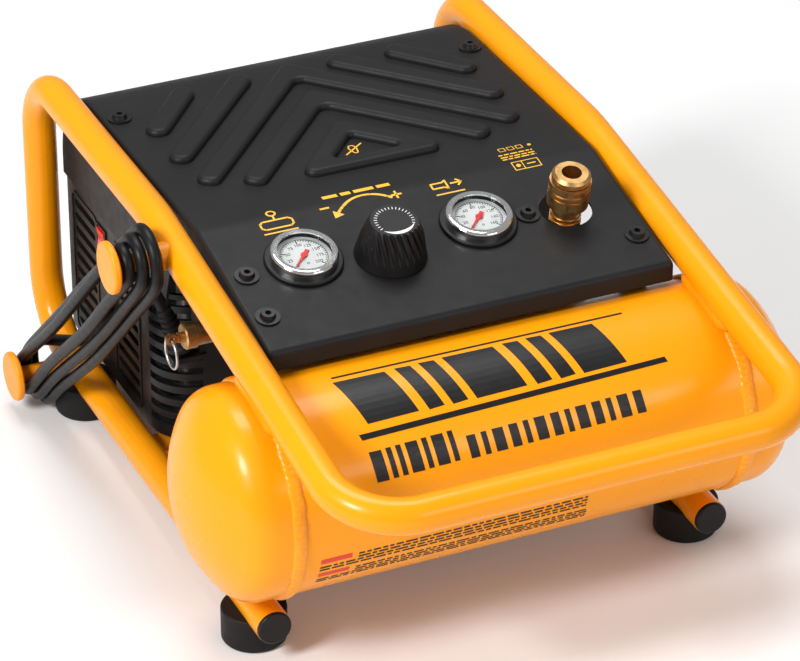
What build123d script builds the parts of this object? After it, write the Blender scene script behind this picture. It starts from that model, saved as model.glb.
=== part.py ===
"""Hand-carry electric air compressor: one horizontal tank in front, an oilless pump and motor
under a folded steel cover behind it, all inside a bent-tube frame that is also the handle.

Millimetres.  +X is the operator's right, +Y is the rear, +Z is up.  Heights below count from a
datum under the floor, FLOOR_Z below the soles of the feet, and save() sets every piece down so
that the floor is at z = 0 under the centre of the machine.
"""
import os
from math import asin, atan2, cos, degrees, pi, radians, sin, sqrt, tan

from build123d import *

# ---------------------------------------------------------------- driving dimensions
GAP = 0.05                      # face-to-face allowance between pieces of one assembly
FLOOR_Z = 10.0                  # the floor, in this file's heights

TUBE_R, TUBE_WALL = 10.0, 1.5   # frame tube
HALF_W = 134.0                  # side tubes' centre plane
RAIL_Z = 34.0                   # bottom rail centreline
TOP_Z = 206.5                   # top rail centreline
UPRIGHT_Y = 235.0               # rear uprights
BAR_Y = -235.0                  # front bar centreline
RAIL_FRONT_Y = -122.0           # open front end of the bottom rails
KNEE_Y = 43.0                   # where the top rail starts to slope down
FRONT_SLOPE = 0.15              # fall per length of the sloping front leg
CORNER_R = 38.0                 # bend radius of the front corners
CORNER_STUB = 44.0              # front bar's straight stub behind each corner

TANK_Y, TANK_Z = -103.5, 113.4
TANK_R, TANK_WALL = 60.0, 2.2
TANK_SEAM_X = 134.5             # butt joint between shell and heads
HEAD_FLANGE_X = 147.0           # end of a head's straight flange
TANK_END_X = 180.5
CROWN_R = 85.0                  # head crown radius

COVER_X = 122.0                 # cover half width
COVER_T = 1.5
COVER_FRONT_Y = -91.4
COVER_FRONT_Z = 187.6
LIP_Z = 175.5
BEND_Y, BEND_Z = 10.8, 210.6    # fold line between control panel and rear deck
REAR_Y, REAR_Z = 232.0, 207.0
FLANGE_Z = 140.0                # lower edge of the deep side flange

SHROUD_X, SHROUD_T = 120.3, 2.5
SHROUD_Y0, SHROUD_Y1 = 72.0, 228.5
SHROUD_Z0, SHROUD_Z1 = 35.0, 160.0

FOOT_R, FOOT_TOP = 18.5, 31.0
FOOT_YS = (-93.0, 172.0)

SHAFT_Y, SHAFT_Z = 150.0, 88.0  # motor and crank axis, along X
CYL_X = -67.0                   # cylinder axis
STROKE = 20.0
BORE_R = 21.0

HOOK_R, HOOK_HEAD_R = 5.0, 15.0
HOOKS = ((8.0, 201.25), (185.4, RAIL_Z))     # y, z of the two cord hooks
CORD_D = 7.2

os.makedirs("parts", exist_ok=True)


def save(builder, name):
    """Set a finished sub-part down on the floor, label it and write it."""
    placed = Pos(0, 0, -FLOOR_Z) * builder.part
    placed.label = name
    export_step(placed, f"parts/{name}.step")


# ---------------------------------------------------------------- shared planes and formulas
SLOPE_ANGLE = atan2(FRONT_SLOPE, 1.0)
BAR_Z = TOP_Z - FRONT_SLOPE * (KNEE_Y - BAR_Y)
BAR_PLANE = Plane(origin=(0, BAR_Y, BAR_Z), x_dir=(1, 0, 0),
                  z_dir=(0, -sin(SLOPE_ANGLE), cos(SLOPE_ANGLE)))
PANEL_ANGLE = atan2(BEND_Z - COVER_FRONT_Z, BEND_Y - COVER_FRONT_Y)
PANEL = Plane(origin=(0, BEND_Y, BEND_Z), x_dir=(1, 0, 0),
              z_dir=(0, -sin(PANEL_ANGLE), cos(PANEL_ANGLE)))
DECK_ANGLE = atan2(REAR_Z - BEND_Z, REAR_Y - BEND_Y)
DECK = Plane(origin=(0, BEND_Y, BEND_Z), x_dir=(1, 0, 0),
             z_dir=(0, -sin(DECK_ANGLE), cos(DECK_ANGLE)))


def x_plane(x, y=0.0, z=0.0):
    """Plane facing +X whose own x and y are the model's Y and Z."""
    return Plane(origin=(x, y, z), x_dir=(0, 1, 0), z_dir=(1, 0, 0))


def slope_point(local_y):
    """World y and z of a point this far behind the front bar on the sloping leg."""
    return BAR_Y + local_y * cos(SLOPE_ANGLE), BAR_Z + local_y * sin(SLOPE_ANGLE)


# ---------------------------------------------------------------- tube frame
LEG_END = slope_point(CORNER_STUB)


def side_tube(side):
    """Rail, rear upright, top rail and sloping leg bent from one tube."""
    with BuildPart() as tube:
        with BuildLine(x_plane(side * HALF_W)) as route:
            FilletPolyline((RAIL_FRONT_Y, RAIL_Z), (UPRIGHT_Y, RAIL_Z), (UPRIGHT_Y, TOP_Z),
                           (KNEE_Y, TOP_Z), LEG_END, radius=[42, 36, 130])
        with BuildSketch(Plane(origin=route.line @ 0, z_dir=route.line % 0)):
            Circle(TUBE_R)
            Circle(TUBE_R - TUBE_WALL, mode=Mode.SUBTRACT)
        sweep()
    return tube


for side, name in ((-1, "side_tube_left"), (1, "side_tube_right")):
    save(side_tube(side), name)

with BuildPart() as front_bar:
    with BuildLine(BAR_PLANE) as route:
        FilletPolyline((-HALF_W, CORNER_STUB), (-HALF_W, 0), (HALF_W, 0),
                       (HALF_W, CORNER_STUB), radius=CORNER_R)
    with BuildSketch(Plane(origin=route.line @ 0, z_dir=route.line % 0)):
        Circle(TUBE_R)
        Circle(TUBE_R - TUBE_WALL, mode=Mode.SUBTRACT)
    sweep()
save(front_bar, "front_bar")

PLUG_CAP = 2.6
with BuildPart() as tube_plugs:
    for side in (-1, 1):
        with BuildSketch(Plane(origin=(side * HALF_W, RAIL_FRONT_Y, RAIL_Z), z_dir=(0, -1, 0))):
            Circle(TUBE_R - 0.2)
        extrude(amount=PLUG_CAP)
        with BuildSketch(Plane(origin=(side * HALF_W, RAIL_FRONT_Y, RAIL_Z), z_dir=(0, 1, 0))):
            Circle(TUBE_R - TUBE_WALL - GAP)
        extrude(amount=12)
    rims = tube_plugs.faces().filter_by(Axis.Y).group_by(Axis.Y)[0].edges()
    fillet(rims, 1.6)
save(tube_plugs, "tube_plugs")

with BuildPart() as rubber_feet:
    for side in (-1, 1):
        for foot_y in FOOT_YS:
            with BuildSketch(Plane.XY.offset(FLOOR_Z)):
                with Locations((side * HALF_W, foot_y)):
                    Circle(FOOT_R)
            extrude(amount=FOOT_TOP - FLOOR_Z)
    fillet(rubber_feet.edges().filter_by(GeomType.CIRCLE).group_by(Axis.Z)[0], 2.5)
    fillet(rubber_feet.edges().filter_by(GeomType.CIRCLE).group_by(Axis.Z)[-1], 1.2)
    for side in (-1, 1):
        with Locations(Plane(origin=(side * HALF_W, 0, RAIL_Z), z_dir=(0, 1, 0))):
            Cylinder(radius=TUBE_R + GAP, height=600, mode=Mode.SUBTRACT)
    # notch for the flange of the lower cord hook
    hook_y, hook_z = HOOKS[1]
    with Locations(Plane(origin=(-HALF_W - 14, hook_y, hook_z), z_dir=(1, 0, 0))):
        Cylinder(radius=8 + 2 * GAP, height=30, mode=Mode.SUBTRACT)
save(rubber_feet, "rubber_feet")


# ---------------------------------------------------------------- tank
def head_outline(inset):
    """Half section of a dished head: straight flange, knuckle arc, crown arc."""
    flange_r = TANK_R - inset
    crown_r = CROWN_R - inset
    crown_x = TANK_END_X - CROWN_R
    reach = HEAD_FLANGE_X - crown_x
    knuckle_r = (reach ** 2 + flange_r ** 2 - crown_r ** 2) / (2 * (flange_r - crown_r))
    lift = flange_r - knuckle_r
    away = sqrt(reach ** 2 + lift ** 2)
    meet = (crown_x + crown_r * reach / away, crown_r * lift / away)
    half = radians(45) + 0.5 * atan2(lift, reach)
    mid_knuckle = (HEAD_FLANGE_X + knuckle_r * cos(half), lift + knuckle_r * sin(half))
    turn = 0.5 * asin(meet[1] / crown_r)
    mid_crown = (crown_x + crown_r * cos(turn), crown_r * sin(turn))
    return flange_r, mid_knuckle, meet, mid_crown, (crown_x + crown_r, 0)


def dished_solid(inset):
    """Solid of revolution of one right-hand head, without its wall thickness removed."""
    flange_r, mid_knuckle, meet, mid_crown, nose = head_outline(inset)
    with BuildPart(mode=Mode.PRIVATE) as dish:
        with BuildSketch(Plane.XY):
            with BuildLine():
                Polyline((TANK_SEAM_X, 0), (TANK_SEAM_X, flange_r), (HEAD_FLANGE_X, flange_r))
                ThreePointArc((HEAD_FLANGE_X, flange_r), mid_knuckle, meet)
                ThreePointArc(meet, mid_crown, nose)
                Line(nose, (TANK_SEAM_X, 0))
            make_face()
        revolve(axis=Axis.X)
    return dish.part


head = dished_solid(0) - dished_solid(TANK_WALL)
with BuildPart() as tank_heads:
    add(Pos(0, TANK_Y, TANK_Z) * head)
    mirror(about=Plane.YZ)
save(tank_heads, "tank_heads")

TANK_AXIS = x_plane(0, TANK_Y, TANK_Z)
BUNG_R = 9.0
DRAIN_X = 0.0
TEE_X, TEE_Y, TEE_Z = -89.0, 18.0, 141.0
CHECK_X = -62.0
# bungs leave the tank: one down and back, two towards the rear
DRAIN_DIR = Vector(0, sin(radians(30)), -cos(radians(30)))
TEE_DIR = Vector(0, TEE_Y - TANK_Y, TEE_Z - TANK_Z).normalized()
CHECK_DIR = Vector(0, 1, 0)


def tank_port(x, direction, radius, start, end):
    """Round bar from one radius to another along a spoke of the tank."""
    with BuildPart(mode=Mode.PRIVATE) as bar:
        origin = Vector(x, TANK_Y, TANK_Z) + direction * start
        with BuildSketch(Plane(origin=origin, z_dir=direction)):
            Circle(radius)
        extrude(amount=end - start)
    return bar.part


with BuildPart() as tank_shell:
    with BuildSketch(TANK_AXIS):
        Circle(TANK_R)
        Circle(TANK_R - TANK_WALL, mode=Mode.SUBTRACT)
    extrude(amount=TANK_SEAM_X, both=True)
    for port_x, port_dir in ((TEE_X, TEE_DIR), (CHECK_X, CHECK_DIR), (DRAIN_X, DRAIN_DIR)):
        add(tank_port(port_x, port_dir, BUNG_R, TANK_R - 2, TANK_R + 4))
        add(tank_port(port_x, port_dir, 5.0, TANK_R - 6, TANK_R + 4), mode=Mode.SUBTRACT)
save(tank_shell, "tank_shell")

BEAD_R, BEAD_HALF = 62.3, 3.6
LEG_MID = slope_point(105)
LEG_AXIS = Plane(origin=(0, *LEG_MID), z_dir=(0, cos(SLOPE_ANGLE), sin(SLOPE_ANGLE)))
with BuildPart() as tank_welds:
    for side in (-1, 1):
        with BuildSketch(x_plane(side * TANK_SEAM_X - BEAD_HALF, TANK_Y, TANK_Z)):
            Circle(BEAD_R)
            Circle(TANK_R + 0.02, mode=Mode.SUBTRACT)
        extrude(amount=2 * BEAD_HALF)
    outer_rims = tank_welds.edges().filter_by(GeomType.CIRCLE).sort_by(SortBy.LENGTH)[-4:]
    fillet(outer_rims, 1.8)
    for side in (-1, 1):
        with Locations(Plane(origin=(side * HALF_W, *LEG_MID), z_dir=LEG_AXIS.z_dir)):
            Cylinder(radius=TUBE_R + GAP, height=200, mode=Mode.SUBTRACT)
save(tank_welds, "tank_welds")

# fillet welds that join each sloping leg to the tank
leg_dir = Vector(0, cos(SLOPE_ANGLE), sin(SLOPE_ANGLE))
foot_of_leg = Vector(0, *LEG_MID)
foot_of_leg = foot_of_leg + leg_dir * (Vector(0, TANK_Y, TANK_Z) - foot_of_leg).dot(leg_dir)
touch = Vector(0, TANK_Y, TANK_Z) + (foot_of_leg - Vector(0, TANK_Y, TANK_Z)).normalized() * TANK_R
WELD_R, WELD_LEN = 8.0, 38.0
with BuildPart() as frame_welds:
    for side in (-1, 1):
        spot = Vector(side * HALF_W, touch.Y, touch.Z)
        with Locations(Plane(origin=spot, z_dir=leg_dir)):
            Cylinder(radius=WELD_R, height=WELD_LEN)
            with Locations((0, 0, WELD_LEN / 2), (0, 0, -WELD_LEN / 2)):
                Sphere(radius=WELD_R)
    for side in (-1, 1):
        with Locations(Plane(origin=(side * HALF_W, *LEG_MID), z_dir=LEG_AXIS.z_dir)):
            Cylinder(radius=TUBE_R + GAP, height=200, mode=Mode.SUBTRACT)
        with Locations(Plane(origin=(side * TANK_SEAM_X, TANK_Y, TANK_Z), z_dir=(1, 0, 0))):
            Cylinder(radius=BEAD_R + GAP, height=2 * BEAD_HALF + 0.2, mode=Mode.SUBTRACT)
            Cylinder(radius=TANK_R + GAP, height=60, mode=Mode.SUBTRACT)
save(frame_welds, "frame_welds")

# steel brackets welded to the rails: two tank saddles and two cross members under the pump
SADDLE_YS = (-100.0, -76.0)
CROSS_YS = (86.0, 214.0)
CROSS_Z0, CROSS_Z1 = 26.0, 30.0
with BuildPart() as frame_brackets:
    for side in (-1, 1):
        with BuildSketch(Plane.YZ.offset(side * 126.5)):
            with Locations((sum(SADDLE_YS) / 2, 47)):
                Rectangle(SADDLE_YS[1] - SADDLE_YS[0], 30)
        extrude(amount=3, both=True)
    for cross_y in CROSS_YS:
        with Locations((0, cross_y, (CROSS_Z0 + CROSS_Z1) / 2)):
            Box(2 * HALF_W, 20, CROSS_Z1 - CROSS_Z0)
    for side in (-1, 1):
        with Locations(Plane(origin=(side * HALF_W, 0, RAIL_Z), z_dir=(0, 1, 0))):
            Cylinder(radius=TUBE_R + GAP, height=600, mode=Mode.SUBTRACT)
    with Locations(Plane(origin=(0, TANK_Y, TANK_Z), z_dir=(1, 0, 0))):
        Cylinder(radius=TANK_R + GAP, height=2 * HEAD_FLANGE_X, mode=Mode.SUBTRACT)
save(frame_brackets, "frame_brackets")

# ---------------------------------------------------------------- motor tray and its mounts
MOUNT_XY = [(x, y) for x in (-86.0, 86.0) for y in CROSS_YS]
TRAY_Z0, TRAY_Z1 = 38.0, 41.0
with BuildPart() as vibration_mounts:
    with BuildSketch(Plane.XY.offset(CROSS_Z1)):
        with Locations(*MOUNT_XY):
            Circle(9)
    extrude(amount=TRAY_Z0 - CROSS_Z1)
    fillet(vibration_mounts.edges(), 1.5)
save(vibration_mounts, "vibration_mounts")

with BuildPart() as motor_tray:
    with BuildSketch(Plane.XY.offset(TRAY_Z0)):
        with Locations((0, (SHROUD_Y0 + SHROUD_Y1) / 2)):
            RectangleRounded(232, 148, 24)
    extrude(amount=TRAY_Z1 - TRAY_Z0)
save(motor_tray, "motor_tray")


# ---------------------------------------------------------------- top cover
def cover_solid(inset):
    """Folded cover's side outline, thinner all round by the inset, pulled across its width."""
    lip = COVER_FRONT_Y + inset
    drop = inset / cos(PANEL_ANGLE)
    rear = REAR_Y - inset
    base = FLANGE_Z - (50 if inset else 0)
    front_z = COVER_FRONT_Z - drop + inset * sin(PANEL_ANGLE) / cos(PANEL_ANGLE)
    with BuildPart(mode=Mode.PRIVATE) as solid:
        with BuildSketch(Plane.YZ):
            with BuildLine():
                skin = FilletPolyline((lip, base), (lip, front_z), (BEND_Y, BEND_Z - inset),
                                      (rear, REAR_Z - inset), (rear, base),
                                      radius=[4 - inset, 25, 56 - inset])
                Line(skin @ 1, skin @ 0)
            make_face()
        extrude(amount=COVER_X - inset, both=True)
        rims = [edge for face in solid.faces().filter_by(Axis.X) for edge in face.edges()
                if edge.center().Z > base + 1]
        fillet(rims, 3.0 - inset)
    return solid.part


def panel_xy(x, y):
    """Panel-plane place of a feature given by its x and its rearward distance from the fold."""
    return (x, -(BEND_Y - y) / cos(PANEL_ANGLE))


GAUGE_Y = -29.0
GAUGES = (panel_xy(-74.8, GAUGE_Y), panel_xy(30.6, GAUGE_Y))
KNOB = panel_xy(-27.0, -38.5)
COUPLER = panel_xy(81.0, -36.5)
COUPLER_HOLE = panel_xy(82.6, -33.0)
PANEL_SCREWS = [panel_xy(-109.5, -31.5), panel_xy(59.9, -31.5), panel_xy(-111.2, -65),
                panel_xy(111.2, -65)]
DECK_SCREWS = [(-111.6, 156 - BEND_Y), (111.6, 156 - BEND_Y)]
SCREW_HOLE_R = 2.6
RIB_W, RIB_H, RIB_ROUND = 14.5, 4.2, 3.4
RIB_SLOPE = radians(48.6)
SIDE_STEP_Y = 62.0              # where the shallow front flange becomes the deep rear one


def chevron(side_x, side_y, width):
    """Pointed rib: two arms rising to the centre line, square-ended across their width."""
    rise = side_x * sin(RIB_SLOPE) / cos(RIB_SLOPE)
    half = width / 2 / cos(RIB_SLOPE)
    across = (width / 2 * sin(RIB_SLOPE), width / 2 * cos(RIB_SLOPE))
    outer = [(side_x + across[0], side_y + across[1]), (0, side_y + rise + half),
             (-side_x - across[0], side_y + across[1])]
    inner = [(-side_x + across[0], side_y - across[1]), (0, side_y + rise - half),
             (side_x - across[0], side_y - across[1])]
    return outer + inner


RIB_BASE_Y = 47.5 - BEND_Y
with BuildPart() as top_cover:
    add(cover_solid(0) - cover_solid(COVER_T))
    # the front part of each side flange is shallow, and so is the lip
    with BuildSketch(Plane.YZ):
        with BuildLine():
            Polyline((COVER_FRONT_Y - 5, LIP_Z), (SIDE_STEP_Y - 20, 195), (SIDE_STEP_Y, FLANGE_Z - 1),
                     (COVER_FRONT_Y - 5, FLANGE_Z - 1), close=True)
        make_face()
    extrude(amount=COVER_X + 1, both=True, mode=Mode.SUBTRACT)
    # raised ribs of the rear deck
    with BuildSketch(DECK):
        for side in (-1, 1):
            with Locations(Location((side * 82.7, 149.6 - BEND_Y), -side * 51)):
                SlotOverall(45.5 + RIB_W, RIB_W)
            with Locations(Location((side * 64.5, 132.2 - BEND_Y), -side * 48.6)):
                SlotOverall(98.7 + RIB_W, RIB_W)
    extrude(amount=RIB_H)
    for side_x, side_y in ((96.7, 58.7 - BEND_Y), (73.1, RIB_BASE_Y)):
        with BuildSketch(DECK) as arms:
            with BuildLine():
                Polyline(*chevron(side_x, side_y, RIB_W), close=True)
            make_face()
            fillet(arms.vertices(), 6)
        extrude(amount=RIB_H)
    with BuildSketch(DECK) as ring:
        with BuildLine():
            Polyline((-48, RIB_BASE_Y - 6), (48, RIB_BASE_Y - 6), (0, RIB_BASE_Y + 52), close=True)
        make_face()
        fillet(ring.vertices(), 6)
        with BuildSketch(DECK, mode=Mode.SUBTRACT) as middle:
            with BuildLine():
                Polyline((-23, RIB_BASE_Y + 5), (23, RIB_BASE_Y + 5), (0, RIB_BASE_Y + 31), close=True)
            make_face()
            fillet(middle.vertices(), 3)
    extrude(amount=RIB_H)
    fillet([edge for edge in top_cover.edges()
            if all(abs(DECK.to_local_coords(edge @ t).Z - RIB_H) < 0.001 for t in (0, 0.4, 1))],
           RIB_ROUND)
    for local in PANEL_SCREWS:
        with Locations(PANEL):
            with Locations(local):
                Cylinder(radius=SCREW_HOLE_R, height=12, mode=Mode.SUBTRACT)
    for local in DECK_SCREWS:
        with Locations(DECK):
            with Locations(local):
                Cylinder(radius=SCREW_HOLE_R, height=12, mode=Mode.SUBTRACT)
    for local, hole_r in ((GAUGES[0], 20.0), (GAUGES[1], 20.0), (KNOB, 13.0), (COUPLER_HOLE, 15.3)):
        with Locations(PANEL):
            with Locations(local):
                Cylinder(radius=hole_r, height=16, mode=Mode.SUBTRACT)
save(top_cover, "top_cover")

SCREW_LIFT = 0.05


def button_screws(spots):
    """Flanged button-head screws standing on a surface: washer flange, domed head, hex recess."""
    with BuildPart(mode=Mode.PRIVATE) as screws:
        for plane, local in spots:
            seat = Plane(origin=plane.from_local_coords((*local, 0)), x_dir=plane.x_dir,
                         z_dir=plane.z_dir)
            with BuildSketch(seat.offset(SCREW_LIFT)):
                Circle(6.9)
            extrude(amount=1.2)
            with BuildSketch(seat.offset(SCREW_LIFT + 1.2)):
                Circle(4.6)
            extrude(amount=2.6, taper=18)
            with BuildSketch(seat.offset(SCREW_LIFT + 1.2)):
                RegularPolygon(radius=1.9, side_count=6)
            extrude(amount=4, mode=Mode.SUBTRACT)
            with BuildSketch(seat.offset(SCREW_LIFT)):
                Circle(2.2)
            extrude(amount=-8)
    return screws.part


with BuildPart() as cover_screws:
    add(button_screws([(PANEL, local) for local in PANEL_SCREWS]
                      + [(DECK, local) for local in DECK_SCREWS]))
save(cover_screws, "cover_screws")

# ---------------------------------------------------------------- manifold under the panel
MANI_X = (-92.0, 90.0)
MANI_Y = (-62.0, -34.0)         # in the panel plane
MANI_W = (-52.0, -36.0)         # depth below the panel
BRACKET_W = MANI_W[0] - 3


def block(x_range, y_range, z_range):
    """Plain block between two corners."""
    size = [high - low for low, high in (x_range, y_range, z_range)]
    centre = [(high + low) / 2 for low, high in (x_range, y_range, z_range)]
    return Pos(*centre) * Box(*size, mode=Mode.PRIVATE)


def panel_box(x_range, y_range, w_range, plane=PANEL):
    """Plain block in the coordinates of the panel, or of another plane."""
    with BuildPart(mode=Mode.PRIVATE) as block:
        with BuildSketch(plane.offset(w_range[0])):
            with Locations((sum(x_range) / 2, sum(y_range) / 2)):
                Rectangle(x_range[1] - x_range[0], y_range[1] - y_range[0])
        extrude(amount=w_range[1] - w_range[0])
    return block.part


def panel_rod(local, radius, w_range):
    """Round bar standing square to the panel."""
    with BuildPart(mode=Mode.PRIVATE) as rod:
        with BuildSketch(PANEL.offset(w_range[0])):
            with Locations(local):
                Circle(radius)
        extrude(amount=w_range[1] - w_range[0])
    return rod.part


with BuildPart() as manifold:
    add(panel_box(MANI_X, MANI_Y, MANI_W))
    chamfer(manifold.edges().filter_by(Axis.X), 2)
    with Locations(Plane(origin=PANEL.from_local_coords((0, -48, -44)), z_dir=(1, 0, 0))):
        Cylinder(radius=4, height=170, mode=Mode.SUBTRACT)
save(manifold, "manifold")

RISER = 6.0
DECK_STAY_Y = 156.0
with BuildPart() as cover_brackets:
    # plate under the manifold, with a riser to each of the two inner panel screws
    add(panel_box((-116, MANI_X[1]), (MANI_Y[0], MANI_Y[1] - 2), (BRACKET_W, MANI_W[0] - GAP)))
    left_x, left_y = PANEL_SCREWS[0]
    right_x, right_y = PANEL_SCREWS[1]
    add(panel_box((left_x - RISER, left_x + RISER), (left_y - RISER, left_y + RISER),
                  (BRACKET_W, -COVER_T - GAP)))
    add(panel_box((right_x - RISER, right_x + RISER), (right_y - RISER, right_y + RISER),
                  (MANI_W[1] + GAP, -COVER_T - GAP)))
    # gusset inside the right side flange
    add(block((102, COVER_X - COVER_T - GAP), (61, 69), (114, 196)))
    # stays from the cross members to the rear deck, and from the tank to the panel's front
    for side in (-1, 1):
        with BuildSketch(Plane.XY.offset(TRAY_Z1 + GAP)):
            with Locations((side * 111.6, DECK_STAY_Y)):
                Rectangle(11, 14)
        extrude(amount=156)
        add(panel_box((side * 111.6 - 5.5, side * 111.6 + 5.5),
                      (DECK_STAY_Y - BEND_Y - 7, DECK_STAY_Y - BEND_Y + 7),
                      (-16, -COVER_T - GAP), DECK))
        front_y = PANEL_SCREWS[2][1]
        add(panel_box((side * 111.2 - RISER, side * 111.2 + RISER),
                      (front_y - RISER, front_y + RISER),
                      (-40, -COVER_T - GAP)))
    with Locations(Plane(origin=(0, TANK_Y, TANK_Z), z_dir=(1, 0, 0))):
        Cylinder(radius=TANK_R + GAP, height=2 * HEAD_FLANGE_X, mode=Mode.SUBTRACT)
    for plane, local in ([(PANEL, local) for local in PANEL_SCREWS]
                         + [(DECK, local) for local in DECK_SCREWS]):
        with Locations(plane):
            with Locations(local):
                Cylinder(radius=SCREW_HOLE_R, height=24, mode=Mode.SUBTRACT)
save(cover_brackets, "cover_brackets")

# ---------------------------------------------------------------- pressure gauges
CASE_R, CASE_BACK, CASE_TOP = 17.2, -22.0, 5.5
DIAL_W = 2.6
BEZEL_R = 19.05
SURROUND_R = 22.2
with BuildPart() as gauge_cases:
    for gauge in GAUGES:
        add(panel_rod(gauge, CASE_R, (CASE_BACK, CASE_TOP)))
        add(panel_rod(gauge, CASE_R - 2.2, (CASE_BACK + 2, DIAL_W)), mode=Mode.SUBTRACT)
        add(panel_rod(gauge, CASE_R - 1.2, (DIAL_W, CASE_TOP)), mode=Mode.SUBTRACT)
        add(panel_rod(gauge, 5, (MANI_W[1] + GAP, CASE_BACK)))
        with BuildSketch(PANEL.offset(-32)):
            with Locations(gauge):
                RegularPolygon(radius=7.5, side_count=6)
        extrude(amount=6)
save(gauge_cases, "gauge_cases")

with BuildPart() as gauge_surrounds:
    for gauge in GAUGES:
        add(panel_rod(gauge, SURROUND_R, (GAP, 2.4)))
        add(panel_rod(gauge, 19.9, (-3, GAP)))
        add(panel_rod(gauge, BEZEL_R + GAP, (-4, 3)), mode=Mode.SUBTRACT)
    fillet(gauge_surrounds.edges().filter_by(GeomType.CIRCLE).filter_by(
        lambda e: abs(e.radius - SURROUND_R) < 0.01 and PANEL.to_local_coords(e.center()).Z > 2), 1.2)
save(gauge_surrounds, "gauge_surrounds")

with BuildPart() as gauge_bezels:
    for gauge in GAUGES:
        add(panel_rod(gauge, BEZEL_R, (1.0, 7.8)))
        add(panel_rod(gauge, CASE_R + GAP, (1.0, 6.8)), mode=Mode.SUBTRACT)
        add(panel_rod(gauge, 15.2, (6.8, 7.8)), mode=Mode.SUBTRACT)
    fillet(gauge_bezels.edges().filter_by(GeomType.CIRCLE).filter_by(
        lambda e: abs(e.radius - BEZEL_R) < 0.01).group_by(Axis.Z)[-1], 1.8)
save(gauge_bezels, "gauge_bezels")

with BuildPart() as gauge_lenses:
    for gauge in GAUGES:
        add(panel_rod(gauge, CASE_R - GAP, (CASE_TOP + GAP, 6.8 - GAP)))
save(gauge_lenses, "gauge_lenses")

with BuildPart() as gauge_dials:
    for gauge in GAUGES:
        add(panel_rod(gauge, CASE_R - 1.2 - GAP, (DIAL_W + 0.02, DIAL_W + 0.6)))
        add(panel_rod(gauge, 0.9, (DIAL_W - 1, DIAL_W + 1)), mode=Mode.SUBTRACT)
save(gauge_dials, "gauge_dials")

NEEDLE_REST = 225.0             # pointer's direction at zero, lower left of the dial


def gauge_needle(local):
    """Pointer with a counterweight tail on its pivot."""
    with BuildPart() as needle:
        with BuildSketch(PANEL.offset(DIAL_W + 1.2)):
            with Locations(Location((*local, 0), NEEDLE_REST)):
                Polygon((0, 0.9), (12.6, 0.22), (12.6, -0.22), (0, -0.9), (-4.6, -1.3),
                        (-4.6, 1.3), align=None)
            with Locations(local):
                Circle(2.0)
        extrude(amount=0.6)
        add(panel_rod(local, 0.85, (-8, DIAL_W + 1.6)))
    return needle


for local, name in ((GAUGES[0], "tank_gauge_needle"), (GAUGES[1], "outlet_gauge_needle")):
    save(gauge_needle(local), name)

# ---------------------------------------------------------------- regulator
NECK_R, NECK_TOP = 11.0, 8.0
STEM_R = 4.0
with BuildPart() as regulator_body:
    add(panel_rod(KNOB, 15, (MANI_W[1] + GAP, -6)))
    fillet(regulator_body.edges().filter_by(GeomType.CIRCLE).group_by(Axis.Z)[-1], 2)
    add(panel_rod(KNOB, NECK_R, (-7, NECK_TOP)))
    add(panel_rod(KNOB, STEM_R + GAP, (-14, NECK_TOP + 1)), mode=Mode.SUBTRACT)
    add(panel_rod(KNOB, 10, (-32, -14)), mode=Mode.SUBTRACT)
save(regulator_body, "regulator_body")

KNOB_W0, KNOB_W1 = 0.8, 24.5
KNOB_BASE_R, KNOB_TOP_R = 20.5, 13.4
FLUTES = 30
knob_centre = PANEL.from_local_coords((*KNOB, 0))
KNOB_PLANE = Plane(origin=knob_centre, x_dir=(1, 0, 0), z_dir=PANEL.z_dir)
with BuildPart() as regulator_knob:
    with BuildSketch(Plane(origin=KNOB_PLANE.origin, x_dir=(1, 0, 0), z_dir=-KNOB_PLANE.y_dir)):
        with BuildLine():
            side_curve = Spline((KNOB_BASE_R, KNOB_W0), (KNOB_BASE_R - 1.6, 8), (16.2, 19),
                                (KNOB_TOP_R, KNOB_W1))
            Polyline(side_curve @ 1, (0, KNOB_W1), (0, KNOB_W0), side_curve @ 0)
        make_face()
    revolve(axis=Axis(KNOB_PLANE.origin, KNOB_PLANE.z_dir))
    for step in range(FLUTES):
        around = 360 / FLUTES * step
        groove = KNOB_PLANE.rotated((0, 0, around))
        with Locations(Plane(origin=groove.from_local_coords((21.6, 0, 2)), x_dir=groove.y_dir,
                             z_dir=groove.from_local_coords((17.3, 0, 22))
                             - groove.from_local_coords((21.6, 0, 2)))):
            Cylinder(radius=1.3, height=46, mode=Mode.SUBTRACT)
    with BuildSketch(KNOB_PLANE.offset(KNOB_W0)):
        Circle(NECK_R + 0.3)
    extrude(amount=NECK_TOP + 0.3 - KNOB_W0, mode=Mode.SUBTRACT)
    with BuildSketch(KNOB_PLANE.offset(-12)):
        Circle(STEM_R)
    extrude(amount=12 + NECK_TOP + 1)
save(regulator_knob, "regulator_knob")

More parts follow.
